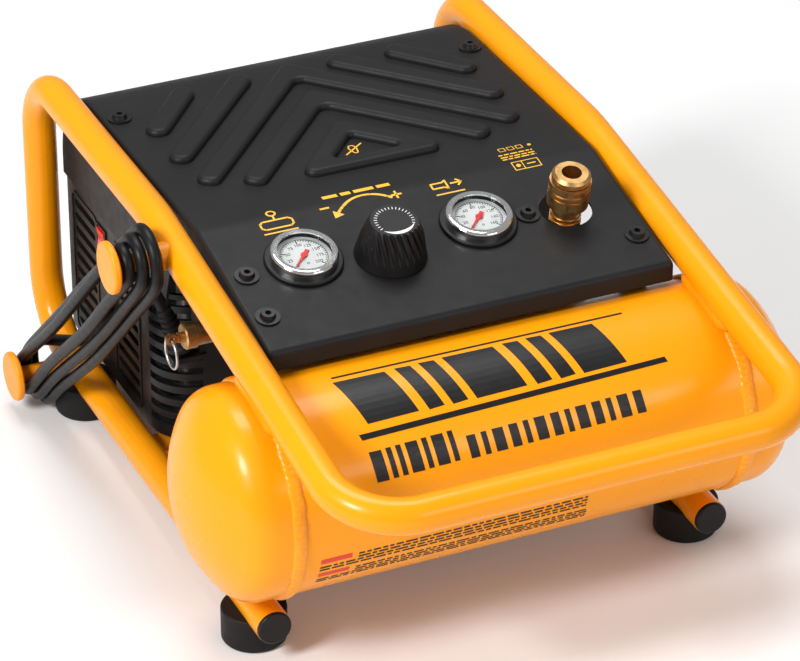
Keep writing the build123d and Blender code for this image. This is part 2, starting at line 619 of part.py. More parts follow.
# ---------------------------------------------------------------- quick coupler
SOCKET_R = 5.7
SLEEVE_W = (6.5, 24.9)
NOSE_W = (25.2, 30.0)
CAVITY_W0 = -3.5
CHAMBER_R, SOCKET_W0 = 6.3, 15.5       # wider chamber for the poppet, below the socket
with BuildPart() as coupler_body:
    add(panel_rod(COUPLER, 6.5, (MANI_W[1] + GAP, -11)))
    with BuildSketch(PANEL.offset(-11.5)):
        with Locations(COUPLER):
            RegularPolygon(radius=10.4, side_count=6)
    extrude(amount=10)
    add(panel_rod(COUPLER, 8.6, (-1.5, 0.9)))
    add(panel_rod(COUPLER, 8.0, (0.5, NOSE_W[0] + 1)))
    add(panel_rod(COUPLER, 11.0, NOSE_W))
    nose = coupler_body.edges().filter_by(GeomType.CIRCLE).filter_by(
        lambda e: abs(e.radius - 11.0) < 0.01)
    chamfer(nose.group_by(Axis.Z)[-1], 1.6)
    fillet(nose.group_by(Axis.Z)[0], 0.8)
    add(panel_rod(COUPLER, SOCKET_R, (SOCKET_W0 - 1, NOSE_W[1] + 1)), mode=Mode.SUBTRACT)
    add(panel_rod(COUPLER, CHAMBER_R, (CAVITY_W0, SOCKET_W0)), mode=Mode.SUBTRACT)
    add(panel_rod(COUPLER, 3.0, (MANI_W[1], CAVITY_W0)), mode=Mode.SUBTRACT)
save(coupler_body, "coupler_body")

with BuildPart() as coupler_sleeve:
    add(panel_rod(COUPLER, 11.8, (SLEEVE_W[0] + 2, SLEEVE_W[1])))
    add(panel_rod(COUPLER, 10.4, (SLEEVE_W[0], SLEEVE_W[0] + 2.2)))
    add(panel_rod(COUPLER, 12.6, (19.1, 20.3)) - panel_rod(COUPLER, 11.1, (18.5, 20.5)),
        mode=Mode.SUBTRACT)
    add(panel_rod(COUPLER, 12.6, (15.9, 16.7)) - panel_rod(COUPLER, 11.3, (15.5, 17.5)),
        mode=Mode.SUBTRACT)
    add(panel_rod(COUPLER, 8.0 + GAP, (SLEEVE_W[0] - 1, SLEEVE_W[1] + 1)), mode=Mode.SUBTRACT)
save(coupler_sleeve, "coupler_sleeve")

with BuildPart() as coupler_poppet:
    add(panel_rod(COUPLER, CHAMBER_R - GAP, (5.5, 12.5)))
    add(panel_rod(COUPLER, 2.0, (12.5, 14.5)))
    add(panel_rod(COUPLER, 4.2, (4.5, 10.5)), mode=Mode.SUBTRACT)
save(coupler_poppet, "coupler_poppet")

# ---------------------------------------------------------------- pump and motor
def x_rod(x_range, radius, y=SHAFT_Y, z=SHAFT_Z):
    """Round bar along X."""
    with BuildPart(mode=Mode.PRIVATE) as rod:
        with BuildSketch(x_plane(x_range[0], y, z)):
            Circle(radius)
        extrude(amount=x_range[1] - x_range[0])
    return rod.part


def z_rod(z_range, radius, x=CYL_X, y=SHAFT_Y):
    """Round bar along Z."""
    with BuildPart(mode=Mode.PRIVATE) as rod:
        with BuildSketch(Plane.XY.offset(z_range[0])):
            with Locations((x, y)):
                Circle(radius)
        extrude(amount=z_range[1] - z_range[0])
    return rod.part

CASE_X, CASE_Y, CASE_Z = (-94.0, -40.0), (116.0, 184.0), (TRAY_Z1 + GAP, 128.0)
CASE_WALL = 4.0
BEARING_R, BEARING_BORE_R, BEARING_LEN = 13.0, 6.0, 8.0
BEARING_XS = (-48.0, 40.0)
PLATE_X = (38.0, 46.0)
with BuildPart() as crankcase:
    add(block(CASE_X, CASE_Y, CASE_Z))
    fillet(crankcase.edges().filter_by(Axis.Z), 6)
    add(block((CASE_X[0] - 1, CASE_X[1] - 2 * CASE_WALL),
              (CASE_Y[0] + CASE_WALL, CASE_Y[1] - CASE_WALL),
              (CASE_Z[0] + CASE_WALL, CASE_Z[1] - CASE_WALL)), mode=Mode.SUBTRACT)
    add(z_rod((CASE_Z[1] - 6, CASE_Z[1] + 1), BORE_R), mode=Mode.SUBTRACT)
    add(x_rod((-50, -39), BEARING_R), mode=Mode.SUBTRACT)
save(crankcase, "crankcase")

with BuildPart() as motor_bracket:
    add(x_rod(PLATE_X, 30))
    add(block(PLATE_X, (SHAFT_Y - 26, SHAFT_Y + 26), (TRAY_Z1 + GAP, SHAFT_Z)))
    add(x_rod((37, 49), BEARING_R), mode=Mode.SUBTRACT)
save(motor_bracket, "motor_bracket")

with BuildPart() as bearings:
    for start in BEARING_XS:
        add(x_rod((start, start + BEARING_LEN - 0.2), BEARING_R - GAP))
        add(x_rod((start - 1, start + BEARING_LEN + 1), BEARING_BORE_R), mode=Mode.SUBTRACT)
save(bearings, "bearings")

STACK_X = (-24.0, 24.0)
with BuildPart() as stator:
    add(x_rod(STACK_X, 46))
    add(x_rod((STACK_X[0] - 8, STACK_X[1] + 8), 40))
    add(x_rod((STACK_X[0] - 9, STACK_X[1] + 9), 29), mode=Mode.SUBTRACT)
    add(block((-20, 20), (SHAFT_Y - 20, SHAFT_Y + 20), (TRAY_Z1 + GAP, SHAFT_Z - 44)))
save(stator, "stator")

DISC_X = (-61.0, -51.0)
ROD_X = (-72.0, -62.0)
PIN_GAP = 0.3
with BuildPart() as rotor:
    add(x_rod((DISC_X[1], 68), BEARING_BORE_R - GAP))
    add(x_rod((STACK_X[0] - 2, STACK_X[1] + 2), 28))
save(rotor, "rotor")

with BuildPart() as crank_disc:
    add(x_rod(DISC_X, 24))
    add(block((DISC_X[0] - 1, DISC_X[1] + 1), (SHAFT_Y - 26, SHAFT_Y + 26),
              (SHAFT_Z + 13, SHAFT_Z + 26)), mode=Mode.SUBTRACT)
save(crank_disc, "crank_disc")

BLADES = 9
with BuildPart() as fan:
    add(x_rod((54, 66), 12))
    add(x_rod((53, 67), BEARING_BORE_R - GAP), mode=Mode.SUBTRACT)
    for step in range(BLADES):
        turn = Pos(60, SHAFT_Y, SHAFT_Z) * Rot(360 / BLADES * step, 0, 0)
        add(turn * Pos(0, 0, 26) * Rot(0, 0, 35) * Box(1.8, 15, 30, mode=Mode.PRIVATE))
save(fan, "fan")

CRANK_R = STROKE / 2
CROWN_Z = 167.0
with BuildPart() as connecting_rod:
    add(x_rod(ROD_X, 10, z=SHAFT_Z + CRANK_R))
    add(x_rod((ROD_X[1] - 1, DISC_X[0] - PIN_GAP), 5, z=SHAFT_Z + CRANK_R))
    add(block((CYL_X - 4, CYL_X + 4), (SHAFT_Y - 6, SHAFT_Y + 6),
              (SHAFT_Z + CRANK_R + 8, CROWN_Z - 8)))
    add(z_rod((CROWN_Z - 9, CROWN_Z), BORE_R - 0.8))
    add(z_rod((CROWN_Z - 5, CROWN_Z - 2), BORE_R + 1) - z_rod((CROWN_Z - 5, CROWN_Z - 2), 18),
        mode=Mode.SUBTRACT)
save(connecting_rod, "connecting_rod")

with BuildPart() as piston_cup:
    add(z_rod((CROWN_Z - 5 + GAP, CROWN_Z - 2 - GAP), BORE_R - GAP))
    add(z_rod((CROWN_Z - 6, CROWN_Z), 18 + GAP), mode=Mode.SUBTRACT)
save(piston_cup, "piston_cup")

CYL_Z = (CASE_Z[1] + GAP, 170.0)
FINS = 6
with BuildPart() as cylinder:
    add(z_rod(CYL_Z, 25))
    for step in range(FINS):
        fin_z = CYL_Z[0] + 4 + 6 * step
        add(z_rod((fin_z, fin_z + 2), 31))
    for side_x in (-1, 1):
        for side_y in (-1, 1):
            add(z_rod(CYL_Z, 5, CYL_X + side_x * 22, SHAFT_Y + side_y * 22))
            add(z_rod((120, 180), 2.7, CYL_X + side_x * 22, SHAFT_Y + side_y * 22),
                mode=Mode.SUBTRACT)
    add(z_rod((120, 180), BORE_R), mode=Mode.SUBTRACT)
save(cylinder, "cylinder")

HEAD_HALF = 28.0
PLATE_Z = (CYL_Z[1] + GAP, 173.0)
HEAD_Z = (PLATE_Z[1] + GAP, 192.0)


def head_block(z_range):
    """Square block over the cylinder with four bolt holes."""
    with BuildPart(mode=Mode.PRIVATE) as piece:
        with BuildSketch(Plane.XY.offset(z_range[0])):
            with Locations((CYL_X, SHAFT_Y)):
                RectangleRounded(2 * HEAD_HALF, 2 * HEAD_HALF, 5)
                with GridLocations(44, 44, 2, 2):
                    Circle(2.7, mode=Mode.SUBTRACT)
        extrude(amount=z_range[1] - z_range[0])
    return piece.part


with BuildPart() as valve_plate:
    add(head_block(PLATE_Z))
    add(z_rod((169, 174), 3, CYL_X - 9) + z_rod((169, 174), 3, CYL_X + 9), mode=Mode.SUBTRACT)
save(valve_plate, "valve_plate")

with BuildPart() as cylinder_head:
    add(head_block(HEAD_Z))
    for step in range(5):
        slot_y = SHAFT_Y - 16 + 8 * step
        add(block((CYL_X - 16, CYL_X + 16), (slot_y - 2, slot_y + 2), (184, 193)),
            mode=Mode.SUBTRACT)
    add(block((CYL_X - 14, CYL_X - 3), (SHAFT_Y - 12, SHAFT_Y + 12), (172, 180)),
        mode=Mode.SUBTRACT)
    add(block((CYL_X + 3, CYL_X + 14), (SHAFT_Y - 12, SHAFT_Y + 12), (172, 180)),
        mode=Mode.SUBTRACT)
save(cylinder_head, "cylinder_head")

with BuildPart() as head_bolts:
    for side_x in (-1, 1):
        for side_y in (-1, 1):
            at = (CYL_X + side_x * 22, SHAFT_Y + side_y * 22)
            add(z_rod((CASE_Z[1] + GAP, HEAD_Z[1]), 2.6, *at))
            add(z_rod((HEAD_Z[1] + GAP, HEAD_Z[1] + 4.5), 4.4, *at))
            add(z_rod((HEAD_Z[1] - 1, HEAD_Z[1] + 1), 2.6, *at))
save(head_bolts, "head_bolts")

FILTER_X = CYL_X + HEAD_HALF + GAP
with BuildPart() as intake_filter:
    add(x_rod((FILTER_X, FILTER_X + 8), 5, z=181))
    add(x_rod((FILTER_X + 8, FILTER_X + 30), 11, z=181))
    fillet(intake_filter.edges().filter_by(GeomType.CIRCLE).group_by(Axis.X)[-1], 3)
save(intake_filter, "intake_filter")

# ---------------------------------------------------------------- air line into the tank
CHECK_Y = TANK_Y + TANK_R + 4
with BuildPart() as check_valve:
    with BuildSketch(Plane(origin=(CHECK_X, CHECK_Y + GAP, TANK_Z), z_dir=(0, 1, 0))):
        RegularPolygon(radius=10.5, side_count=6)
    extrude(amount=12)
    with BuildSketch(Plane(origin=(CHECK_X, CHECK_Y + 12, TANK_Z), z_dir=(0, 1, 0))):
        Circle(7.5)
    extrude(amount=12)
save(check_valve, "check_valve")

TUBE_OUT_R, TUBE_IN_R = 4.0, 2.8
HEAD_SIDE_X = CYL_X - HEAD_HALF - GAP
with BuildPart() as discharge_tube:
    with BuildLine() as route:
        FilletPolyline((HEAD_SIDE_X, 134, 182), (-108, 134, 182), (-108, 67, 160), (-100, 65, 120),
                       (CHECK_X, 30, TANK_Z), (CHECK_X, CHECK_Y + 24 + GAP, TANK_Z),
                       radius=[9, 22, 18, 16])
    with BuildSketch(Plane(origin=route.line @ 0, z_dir=route.line % 0)):
        Circle(TUBE_OUT_R)
        Circle(TUBE_IN_R, mode=Mode.SUBTRACT)
    sweep()
save(discharge_tube, "discharge_tube")

# ---------------------------------------------------------------- tank tee, safety valve, switch
TEE_HALF = 9.0
tee_surface = (Vector(0, TEE_Y, TEE_Z) - Vector(0, TANK_Y, TANK_Z)).length
with BuildPart() as tank_tee:
    add(tank_port(TEE_X, TEE_DIR, 6.5, TANK_R + 4 + GAP, tee_surface))
    add(block((TEE_X - TEE_HALF, TEE_X + TEE_HALF), (TEE_Y - TEE_HALF, TEE_Y + TEE_HALF),
              (TEE_Z - TEE_HALF, TEE_Z + TEE_HALF)))
save(tank_tee, "tank_tee")

VALVE_X0 = TEE_X - TEE_HALF - GAP
VALVE_END = -129.0
VALVE_BORE_R = 3.0
with BuildPart() as safety_valve_body:
    add(x_rod((VALVE_X0 - 6, VALVE_X0), 5, TEE_Y, TEE_Z))
    with BuildSketch(x_plane(VALVE_X0 - 13, TEE_Y, TEE_Z)):
        RegularPolygon(radius=8.6, side_count=6)
    extrude(amount=7)
    add(x_rod((VALVE_END + 7, VALVE_X0 - 12), 6.6, TEE_Y, TEE_Z))
    add(x_rod((VALVE_END, VALVE_END + 7.5), 7.6, TEE_Y, TEE_Z))
    add(x_rod((VALVE_END - 1, VALVE_X0 - 8), VALVE_BORE_R, TEE_Y, TEE_Z), mode=Mode.SUBTRACT)
    chamfer(safety_valve_body.edges().filter_by(GeomType.CIRCLE).filter_by(
        lambda e: abs(e.radius - 7.6) < 0.01), 0.8)
save(safety_valve_body, "safety_valve_body")

EYE_X = VALVE_END - 7.0
RING_R, RING_WIRE = 9.0, 0.8
with BuildPart() as safety_valve_stem:
    add(x_rod((VALVE_END - 3, VALVE_X0 - 12), VALVE_BORE_R - GAP, TEE_Y, TEE_Z))
    with BuildSketch(Plane(origin=(0, TEE_Y, 0), x_dir=(1, 0, 0), z_dir=(0, -1, 0))):
        with Locations((EYE_X, TEE_Z)):
            Circle(3.4)
        with Locations(((EYE_X + VALVE_END) / 2 + 0.5, TEE_Z)):
            Rectangle(7, 4.4)
        with Locations((EYE_X, TEE_Z)):
            Circle(1.7, mode=Mode.SUBTRACT)
    extrude(amount=1.4, both=True)
save(safety_valve_stem, "safety_valve_stem")

with BuildPart() as safety_valve_ring:
    with BuildSketch(Plane.XZ.offset(-TEE_Y)):
        with Locations((EYE_X, TEE_Z)):
            Circle(RING_WIRE)
    revolve(axis=Axis((EYE_X, TEE_Y, TEE_Z - RING_R), (1, 0, 0)))
save(safety_valve_ring, "safety_valve_ring")

SWITCH_X, SWITCH_Y, SWITCH_Z = (-112.0, -66.0), (2.0, 58.0), (TEE_Z + TEE_HALF + GAP, 190.0)
GLAND_Z = 114.0
with BuildPart() as pressure_switch:
    add(block(SWITCH_X, SWITCH_Y, (SWITCH_Z[0] + 6, SWITCH_Z[1])))
    fillet(pressure_switch.edges(), 2.5)
    # arm and gland plate for the mains lead
    add(block((SWITCH_X[0] + 3, SWITCH_X[0] + 7), (44, 56), (GLAND_Z - 6, SWITCH_Z[0] + 14)))
    add(block((-126, SWITCH_X[0] + 7), (42, 58), (GLAND_Z - 6, GLAND_Z - 3)))
    add(z_rod((SWITCH_Z[0], SWITCH_Z[0] + 8), 8, TEE_X, TEE_Y))
save(pressure_switch, "pressure_switch")

# ---------------------------------------------------------------- drain under the tank
DRAIN = Plane(origin=Vector(DRAIN_X, TANK_Y, TANK_Z) + DRAIN_DIR * (TANK_R + 4), x_dir=(1, 0, 0),
              z_dir=DRAIN_DIR)


def drain_rod(span, radius):
    """Round bar on the drain's axis, between two distances outwards from its bung."""
    with BuildPart(mode=Mode.PRIVATE) as bar:
        with BuildSketch(DRAIN.offset(span[0])):
            Circle(radius)
        extrude(amount=span[1] - span[0])
    return bar.part


with BuildPart() as drain_valve_body:
    with BuildSketch(DRAIN.offset(GAP)):
        RegularPolygon(radius=8, side_count=6)
    extrude(amount=7)
    add(drain_rod((6, 14), 5.5))
    add(drain_rod((2, 15), 3), mode=Mode.SUBTRACT)
save(drain_valve_body, "drain_valve_body")

with BuildPart() as drain_handle:
    add(drain_rod((5, 16), 3 - GAP))
    with BuildSketch(DRAIN.offset(15)):
        SlotOverall(26, 5)
    extrude(amount=7)
    fillet([edge for edge in drain_handle.edges()
            if all(abs(DRAIN.to_local_coords(edge @ t).Z - 22) < 0.001 for t in (0, 0.4, 1))], 1)
save(drain_handle, "drain_handle")

# ---------------------------------------------------------------- shroud round the pump
LOUVRE_PITCH, LOUVRE_H = 9.0, 4.6
LOUVRE_ROWS = 10
LOUVRE_MID_Z = 86.0
LOUVRE_GROUPS = (131.0, 199.0)
LOUVRE_LEN = 34.0
FRONT_CORNER_R, REAR_CORNER_R = 26.0, 12.0
ROCKER_Y, ROCKER_Z = 170.0, 122.0
ROCKER_HALF_Y, ROCKER_HALF_Z = 5.6, 9.0


def louvre_zs():
    """Height of each louvre slot."""
    return [LOUVRE_MID_Z + (row - (LOUVRE_ROWS - 1) / 2) * LOUVRE_PITCH for row in range(LOUVRE_ROWS)]


def shroud_outline(inset):
    """Plan outline of the shroud, drawn in by inset: large front corners, small rear ones."""
    depth = SHROUD_Y1 - SHROUD_Y0
    with BuildSketch(mode=Mode.PRIVATE) as outline:
        with Locations((0, SHROUD_Y0 + depth / 2)):
            Rectangle(2 * (SHROUD_X - inset), depth - 2 * inset)
        corners = outline.vertices().group_by(Axis.Y)
        fillet(corners[0], FRONT_CORNER_R - inset)
        fillet(corners[-1], REAR_CORNER_R - inset)
    return outline.sketch


def shroud(side):
    """One half of the two-part shroud: a rounded box wall with louvres, open above and below."""
    with BuildPart() as shell:
        with BuildSketch(Plane.XY.offset(SHROUD_Z0)):
            add(shroud_outline(0))
            add(shroud_outline(SHROUD_T), mode=Mode.SUBTRACT)
        extrude(amount=SHROUD_Z1 - SHROUD_Z0)
        # raised frames round the groups of side slots
        with BuildSketch(x_plane(side * (SHROUD_X - 0.2))):
            for group_y in LOUVRE_GROUPS:
                with Locations((group_y, LOUVRE_MID_Z)):
                    RectangleRounded(LOUVRE_LEN + 8, LOUVRE_ROWS * LOUVRE_PITCH + 5, 5)
                    RectangleRounded(LOUVRE_LEN + 5.4, LOUVRE_ROWS * LOUVRE_PITCH + 2.4, 4,
                                     mode=Mode.SUBTRACT)
        extrude(amount=side * 0.9)
        with BuildSketch(x_plane(side * (SHROUD_X - 8))):
            for group_y in LOUVRE_GROUPS:
                for z in louvre_zs():
                    with Locations((group_y, z)):
                        SlotOverall(LOUVRE_LEN, LOUVRE_H)
        extrude(amount=side * 12, mode=Mode.SUBTRACT)
        with BuildSketch(Plane.XZ.offset(-SHROUD_Y1 - 2)):
            for z in louvre_zs():
                with Locations((side * 58, z)):
                    SlotOverall(72, LOUVRE_H)
        extrude(amount=8, mode=Mode.SUBTRACT)
        # louvres that wrap round the front corner
        for z in louvre_zs():
            add(block((side * SHROUD_X - 24, side * SHROUD_X + 24),
                      (SHROUD_Y0 - 5, SHROUD_Y0 + FRONT_CORNER_R - 2),
                      (z - LOUVRE_H / 2, z + LOUVRE_H / 2)), mode=Mode.SUBTRACT)
        if side < 0:
            # window in the front wall for the air tube, and the switch opening in the side
            add(block((-114, -20), (SHROUD_Y0 - 5, SHROUD_Y0 + 10), (132, SHROUD_Z1 + 1)),
                mode=Mode.SUBTRACT)
            add(block((-SHROUD_X - 1.0, -SHROUD_X + 0.2),
                      (ROCKER_Y - ROCKER_HALF_Y - 1.8, ROCKER_Y + ROCKER_HALF_Y + 1.8),
                      (ROCKER_Z - ROCKER_HALF_Z - 0.9, ROCKER_Z + ROCKER_HALF_Z + 0.9)))
            add(block((-SHROUD_X - 3, -SHROUD_X + 5),
                      (ROCKER_Y - ROCKER_HALF_Y - 0.4, ROCKER_Y + ROCKER_HALF_Y + 0.4),
                      (ROCKER_Z - ROCKER_HALF_Z - 0.4, ROCKER_Z + ROCKER_HALF_Z + 0.4)),
                mode=Mode.SUBTRACT)
        add(block((0.1, 300) if side > 0 else (-300, -0.1), (0, 400), (-10, 300)),
            mode=Mode.INTERSECT)
    return shell


for side, name in ((-1, "shroud_left"), (1, "shroud_right")):
    save(shroud(side), name)

with BuildPart() as power_switch:
    # two-slope rocker, rocking about its pivot along Y
    with BuildSketch(Plane(origin=(0, ROCKER_Y + ROCKER_HALF_Y, 0), x_dir=(1, 0, 0),
                           z_dir=(0, -1, 0))):
        with BuildLine():
            Polyline((-114.6, ROCKER_Z - 6), (-118.6, ROCKER_Z - 7.8), (-121.9, ROCKER_Z - 7.6),
                     (-120.9, ROCKER_Z), (-121.9, ROCKER_Z + 7.6), (-118.6, ROCKER_Z + 7.8),
                     (-114.6, ROCKER_Z + 6), close=True)
        make_face()
    extrude(amount=2 * ROCKER_HALF_Y)
save(power_switch, "power_switch")

# ---------------------------------------------------------------- cord hooks on the left side
HOOK_HEAD_X = -172.0
HOOK_HEAD_T = 4.6
with BuildPart() as cord_hooks:
    for hook_y, hook_z in HOOKS:
        add(x_rod((HOOK_HEAD_X - 1, -HALF_W), HOOK_R, hook_y, hook_z))
        add(x_rod((-HALF_W - TUBE_R - 2, -HALF_W), 8, hook_y, hook_z))
        add(x_rod((HOOK_HEAD_X - HOOK_HEAD_T, HOOK_HEAD_X), HOOK_HEAD_R, hook_y, hook_z))
    heads = cord_hooks.edges().filter_by(GeomType.CIRCLE).filter_by(
        lambda e: abs(e.radius - HOOK_HEAD_R) < 0.01)
    fillet(heads, 1.7)
    with Locations(Plane(origin=(-HALF_W, *LEG_MID), z_dir=LEG_AXIS.z_dir)):
        Cylinder(radius=TUBE_R + GAP, height=330, mode=Mode.SUBTRACT)
    with Locations(Plane(origin=(-HALF_W, 0, RAIL_Z), z_dir=(0, 1, 0))):
        Cylinder(radius=TUBE_R + GAP, height=600, mode=Mode.SUBTRACT)
save(cord_hooks, "cord_hooks")

# ---------------------------------------------------------------- mains lead
BOOT_BASE = Vector(-118.0, 50.0, GLAND_Z)
BOOT_DIR = Vector(-0.343, 0, 0.939).normalized()
BOOT_LEN = 30.0
with BuildPart() as strain_relief:
    for start, length, low_r, high_r in ((0, 4, 8.0, 8.0), (4, BOOT_LEN - 4, 6.6, 4.4)):
        with BuildSketch(Plane(origin=BOOT_BASE + BOOT_DIR * start, z_dir=BOOT_DIR)):
            Circle(low_r)
        with BuildSketch(Plane(origin=BOOT_BASE + BOOT_DIR * (start + length), z_dir=BOOT_DIR)):
            Circle(high_r)
        loft()
save(strain_relief, "strain_relief")

WRAP_X = (-171.0, -152.8)
WRAP_IN, WRAP_OUT = 5.4, 21.0
hook_a, hook_b = (Vector(0, *hook) for hook in HOOKS)
WRAP_DIR = (hook_b - hook_a).normalized()
WRAP_NORMAL = Vector(0, -WRAP_DIR.Z, WRAP_DIR.Y)
WRAP_AXIS = Axis((0, *HOOKS[0]), WRAP_DIR)


def along_wrap(x, run, offset):
    """Point at a distance along the line between the two hooks and above that line."""
    return hook_a + WRAP_DIR * run + WRAP_NORMAL * offset + Vector(x, 0, 0)


boot_tip = BOOT_BASE + BOOT_DIR * BOOT_LEN
LEAD_ROUTE = [boot_tip, boot_tip + BOOT_DIR * 13, along_wrap(-141, 53, 2), along_wrap(-150, 42, 3),
              along_wrap(-158, 31, 5), along_wrap(-165, 18, 8.5)]
TAIL_ROUTE = [along_wrap(-156, 234, 15), along_wrap(-151, 217, 11), along_wrap(-144.5, 200, 4),
              along_wrap(-139, 183, 0), along_wrap(-139, 166, 0)]


def cord_radii(points):
    """Bend radius at each inner corner: 0.45 of the shorter run over the tangent of half the turn."""
    radii = []
    for before, here, after in zip(points, points[1:], points[2:]):
        run_in, run_out = here - before, after - here
        half_turn = radians(run_in.get_angle(run_out)) / 2
        radii.append(0.45 * min(run_in.length, run_out.length) / tan(half_turn))
    return radii


with BuildPart() as cord_lead:
    for points in (LEAD_ROUTE, TAIL_ROUTE):
        radii = cord_radii(points)
        with BuildLine() as route:
            FilletPolyline(*points, radius=radii)
        print("cord radii", [round(radius, 1) for radius in radii],
              "length", round(Wire(route.edges()).length, 1))
        with BuildSketch(Plane(origin=route.line @ 0, z_dir=route.line % 0)):
            Circle(CORD_D / 2)
        sweep()
save(cord_lead, "cord_lead")

wrap_run = (hook_b - hook_a).length
wrap_mid = (hook_a + hook_b) * 0.5
with BuildPart() as cord_hank:
    with BuildSketch(x_plane(WRAP_X[0])):
        with Locations(Location((wrap_mid.Y, wrap_mid.Z, 0), degrees(atan2(WRAP_DIR.Z, WRAP_DIR.Y)))):
            SlotCenterToCenter(wrap_run, 2 * WRAP_OUT)
            SlotCenterToCenter(wrap_run, 2 * WRAP_IN, mode=Mode.SUBTRACT)
    extrude(amount=WRAP_X[1] - WRAP_X[0])
save(cord_hank, "cord_hank")

PLUG_CONE, PLUG_GRIP = 16.0, 14.0
plug_plane = Plane(origin=TAIL_ROUTE[-1], x_dir=(1, 0, 0), z_dir=-WRAP_DIR)
with BuildPart() as plug:
    with BuildSketch(plug_plane):
        Circle(4.8)
    with BuildSketch(plug_plane.offset(PLUG_CONE)):
        Circle(9.5)
    loft()
    with BuildSketch(plug_plane.offset(PLUG_CONE)):
        Circle(9.5)
    extrude(amount=PLUG_GRIP)
    fillet(plug.edges().filter_by(GeomType.CIRCLE).sort_by(WRAP_AXIS)[0], 1.5)
    with BuildSketch(plug_plane.offset(PLUG_CONE + PLUG_GRIP)):
        with Locations((0, 6.35), (0, -6.35)):
            Rectangle(6.4, 1.5)
    extrude(amount=17)
    with BuildSketch(plug_plane.offset(PLUG_CONE + PLUG_GRIP)):
        with Locations((6.5, 0)):
            Circle(2.4)
    extrude(amount=19)
save(plug, "plug")
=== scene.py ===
"""Hand-carry air compressor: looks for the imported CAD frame."""
import math
import random

import bmesh
import bpy
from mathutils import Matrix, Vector, noise
from mathutils.bvhtree import BVHTree


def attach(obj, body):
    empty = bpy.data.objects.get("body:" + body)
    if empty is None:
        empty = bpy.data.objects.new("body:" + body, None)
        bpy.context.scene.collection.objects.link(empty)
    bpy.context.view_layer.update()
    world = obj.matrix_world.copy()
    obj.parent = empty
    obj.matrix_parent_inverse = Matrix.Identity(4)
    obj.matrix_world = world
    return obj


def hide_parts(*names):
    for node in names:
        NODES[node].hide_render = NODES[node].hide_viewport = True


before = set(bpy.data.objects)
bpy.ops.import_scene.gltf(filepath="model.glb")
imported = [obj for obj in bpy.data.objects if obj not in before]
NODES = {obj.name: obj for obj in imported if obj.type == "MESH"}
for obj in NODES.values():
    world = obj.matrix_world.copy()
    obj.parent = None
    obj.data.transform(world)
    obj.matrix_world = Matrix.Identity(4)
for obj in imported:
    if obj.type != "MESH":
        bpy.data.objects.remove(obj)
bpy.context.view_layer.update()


MM = 0.001
FLOOR_Z = 10.0                  # the floor, in this file's heights, which are in mm as in the CAD
random.seed(4)


def metres(spot):
    """A place in mm, with its height over the CAD's datum, in the frame's metres."""
    return (Vector(spot) - Vector((0, 0, FLOOR_Z))) * MM


# ------------------------------------------------------------------ camera
camera = bpy.data.objects.new("camera", bpy.data.cameras.new("camera"))
bpy.context.collection.objects.link(camera)
camera.data.lens = 189.9
camera.data.sensor_width = 36
camera.data.clip_end = 20
camera.location = (-0.8472, -1.8823, 1.3339)
camera.rotation_euler = (math.radians(59.41), 0, math.radians(-24.13))
bpy.context.scene.camera = camera


# ------------------------------------------------------------------ materials
def shader(name, color, rough, metallic=0.0, **sockets):
    """A material with its Principled shader; returns (material, nodes, links, shader)."""
    mat = bpy.data.materials.new(name)
    mat.use_nodes = True
    nodes, links = mat.node_tree.nodes, mat.node_tree.links
    bsdf = nodes["Principled BSDF"]
    bsdf.inputs["Base Color"].default_value = (*color, 1)
    bsdf.inputs["Roughness"].default_value = rough
    bsdf.inputs["Metallic"].default_value = metallic
    for key, value in sockets.items():
        bsdf.inputs[key.replace("_", " ")].default_value = value
    return mat, nodes, links, bsdf


def coords(nodes, links, scale=(1, 1, 1)):
    place = nodes.new("ShaderNodeTexCoord")
    mapping = nodes.new("ShaderNodeMapping")
    mapping.inputs["Scale"].default_value = scale
    links.new(place.outputs["Object"], mapping.inputs["Vector"])
    return mapping.outputs["Vector"]


def noise_node(nodes, links, vector, scale, detail=3.0, rough=0.55):
    tex = nodes.new("ShaderNodeTexNoise")
    tex.inputs["Scale"].default_value = scale
    tex.inputs["Detail"].default_value = detail
    tex.inputs["Roughness"].default_value = rough
    links.new(vector, tex.inputs["Vector"])
    return tex.outputs["Fac"]


def ramp(nodes, links, fac, stops):
    node = nodes.new("ShaderNodeValToRGB")
    elements = node.color_ramp.elements
    while len(elements) < len(stops):
        elements.new(0.5)
    for element, (position, color) in zip(elements, stops):
        element.position = position
        element.color = (*color, 1)
    links.new(fac, node.inputs["Fac"])
    return node.outputs["Color"]


def spread(nodes, links, fac, low, high):
    node = nodes.new("ShaderNodeMapRange")
    node.inputs["From Min"].default_value = 0.3
    node.inputs["From Max"].default_value = 0.7
    node.inputs["To Min"].default_value = low
    node.inputs["To Max"].default_value = high
    links.new(fac, node.inputs["Value"])
    return node.outputs["Result"]


def bumps(nodes, links, bsdf, layers):
    """Chain of bump nodes: (height, strength, distance in metres)."""
    normal = None
    for height, strength, distance in layers:
        node = nodes.new("ShaderNodeBump")
        node.inputs["Strength"].default_value = strength
        node.inputs["Distance"].default_value = distance
        links.new(height, node.inputs["Height"])
        if normal is not None:
            links.new(normal, node.inputs["Normal"])
        normal = node.outputs["Normal"]
    links.new(normal, bsdf.inputs["Normal"])


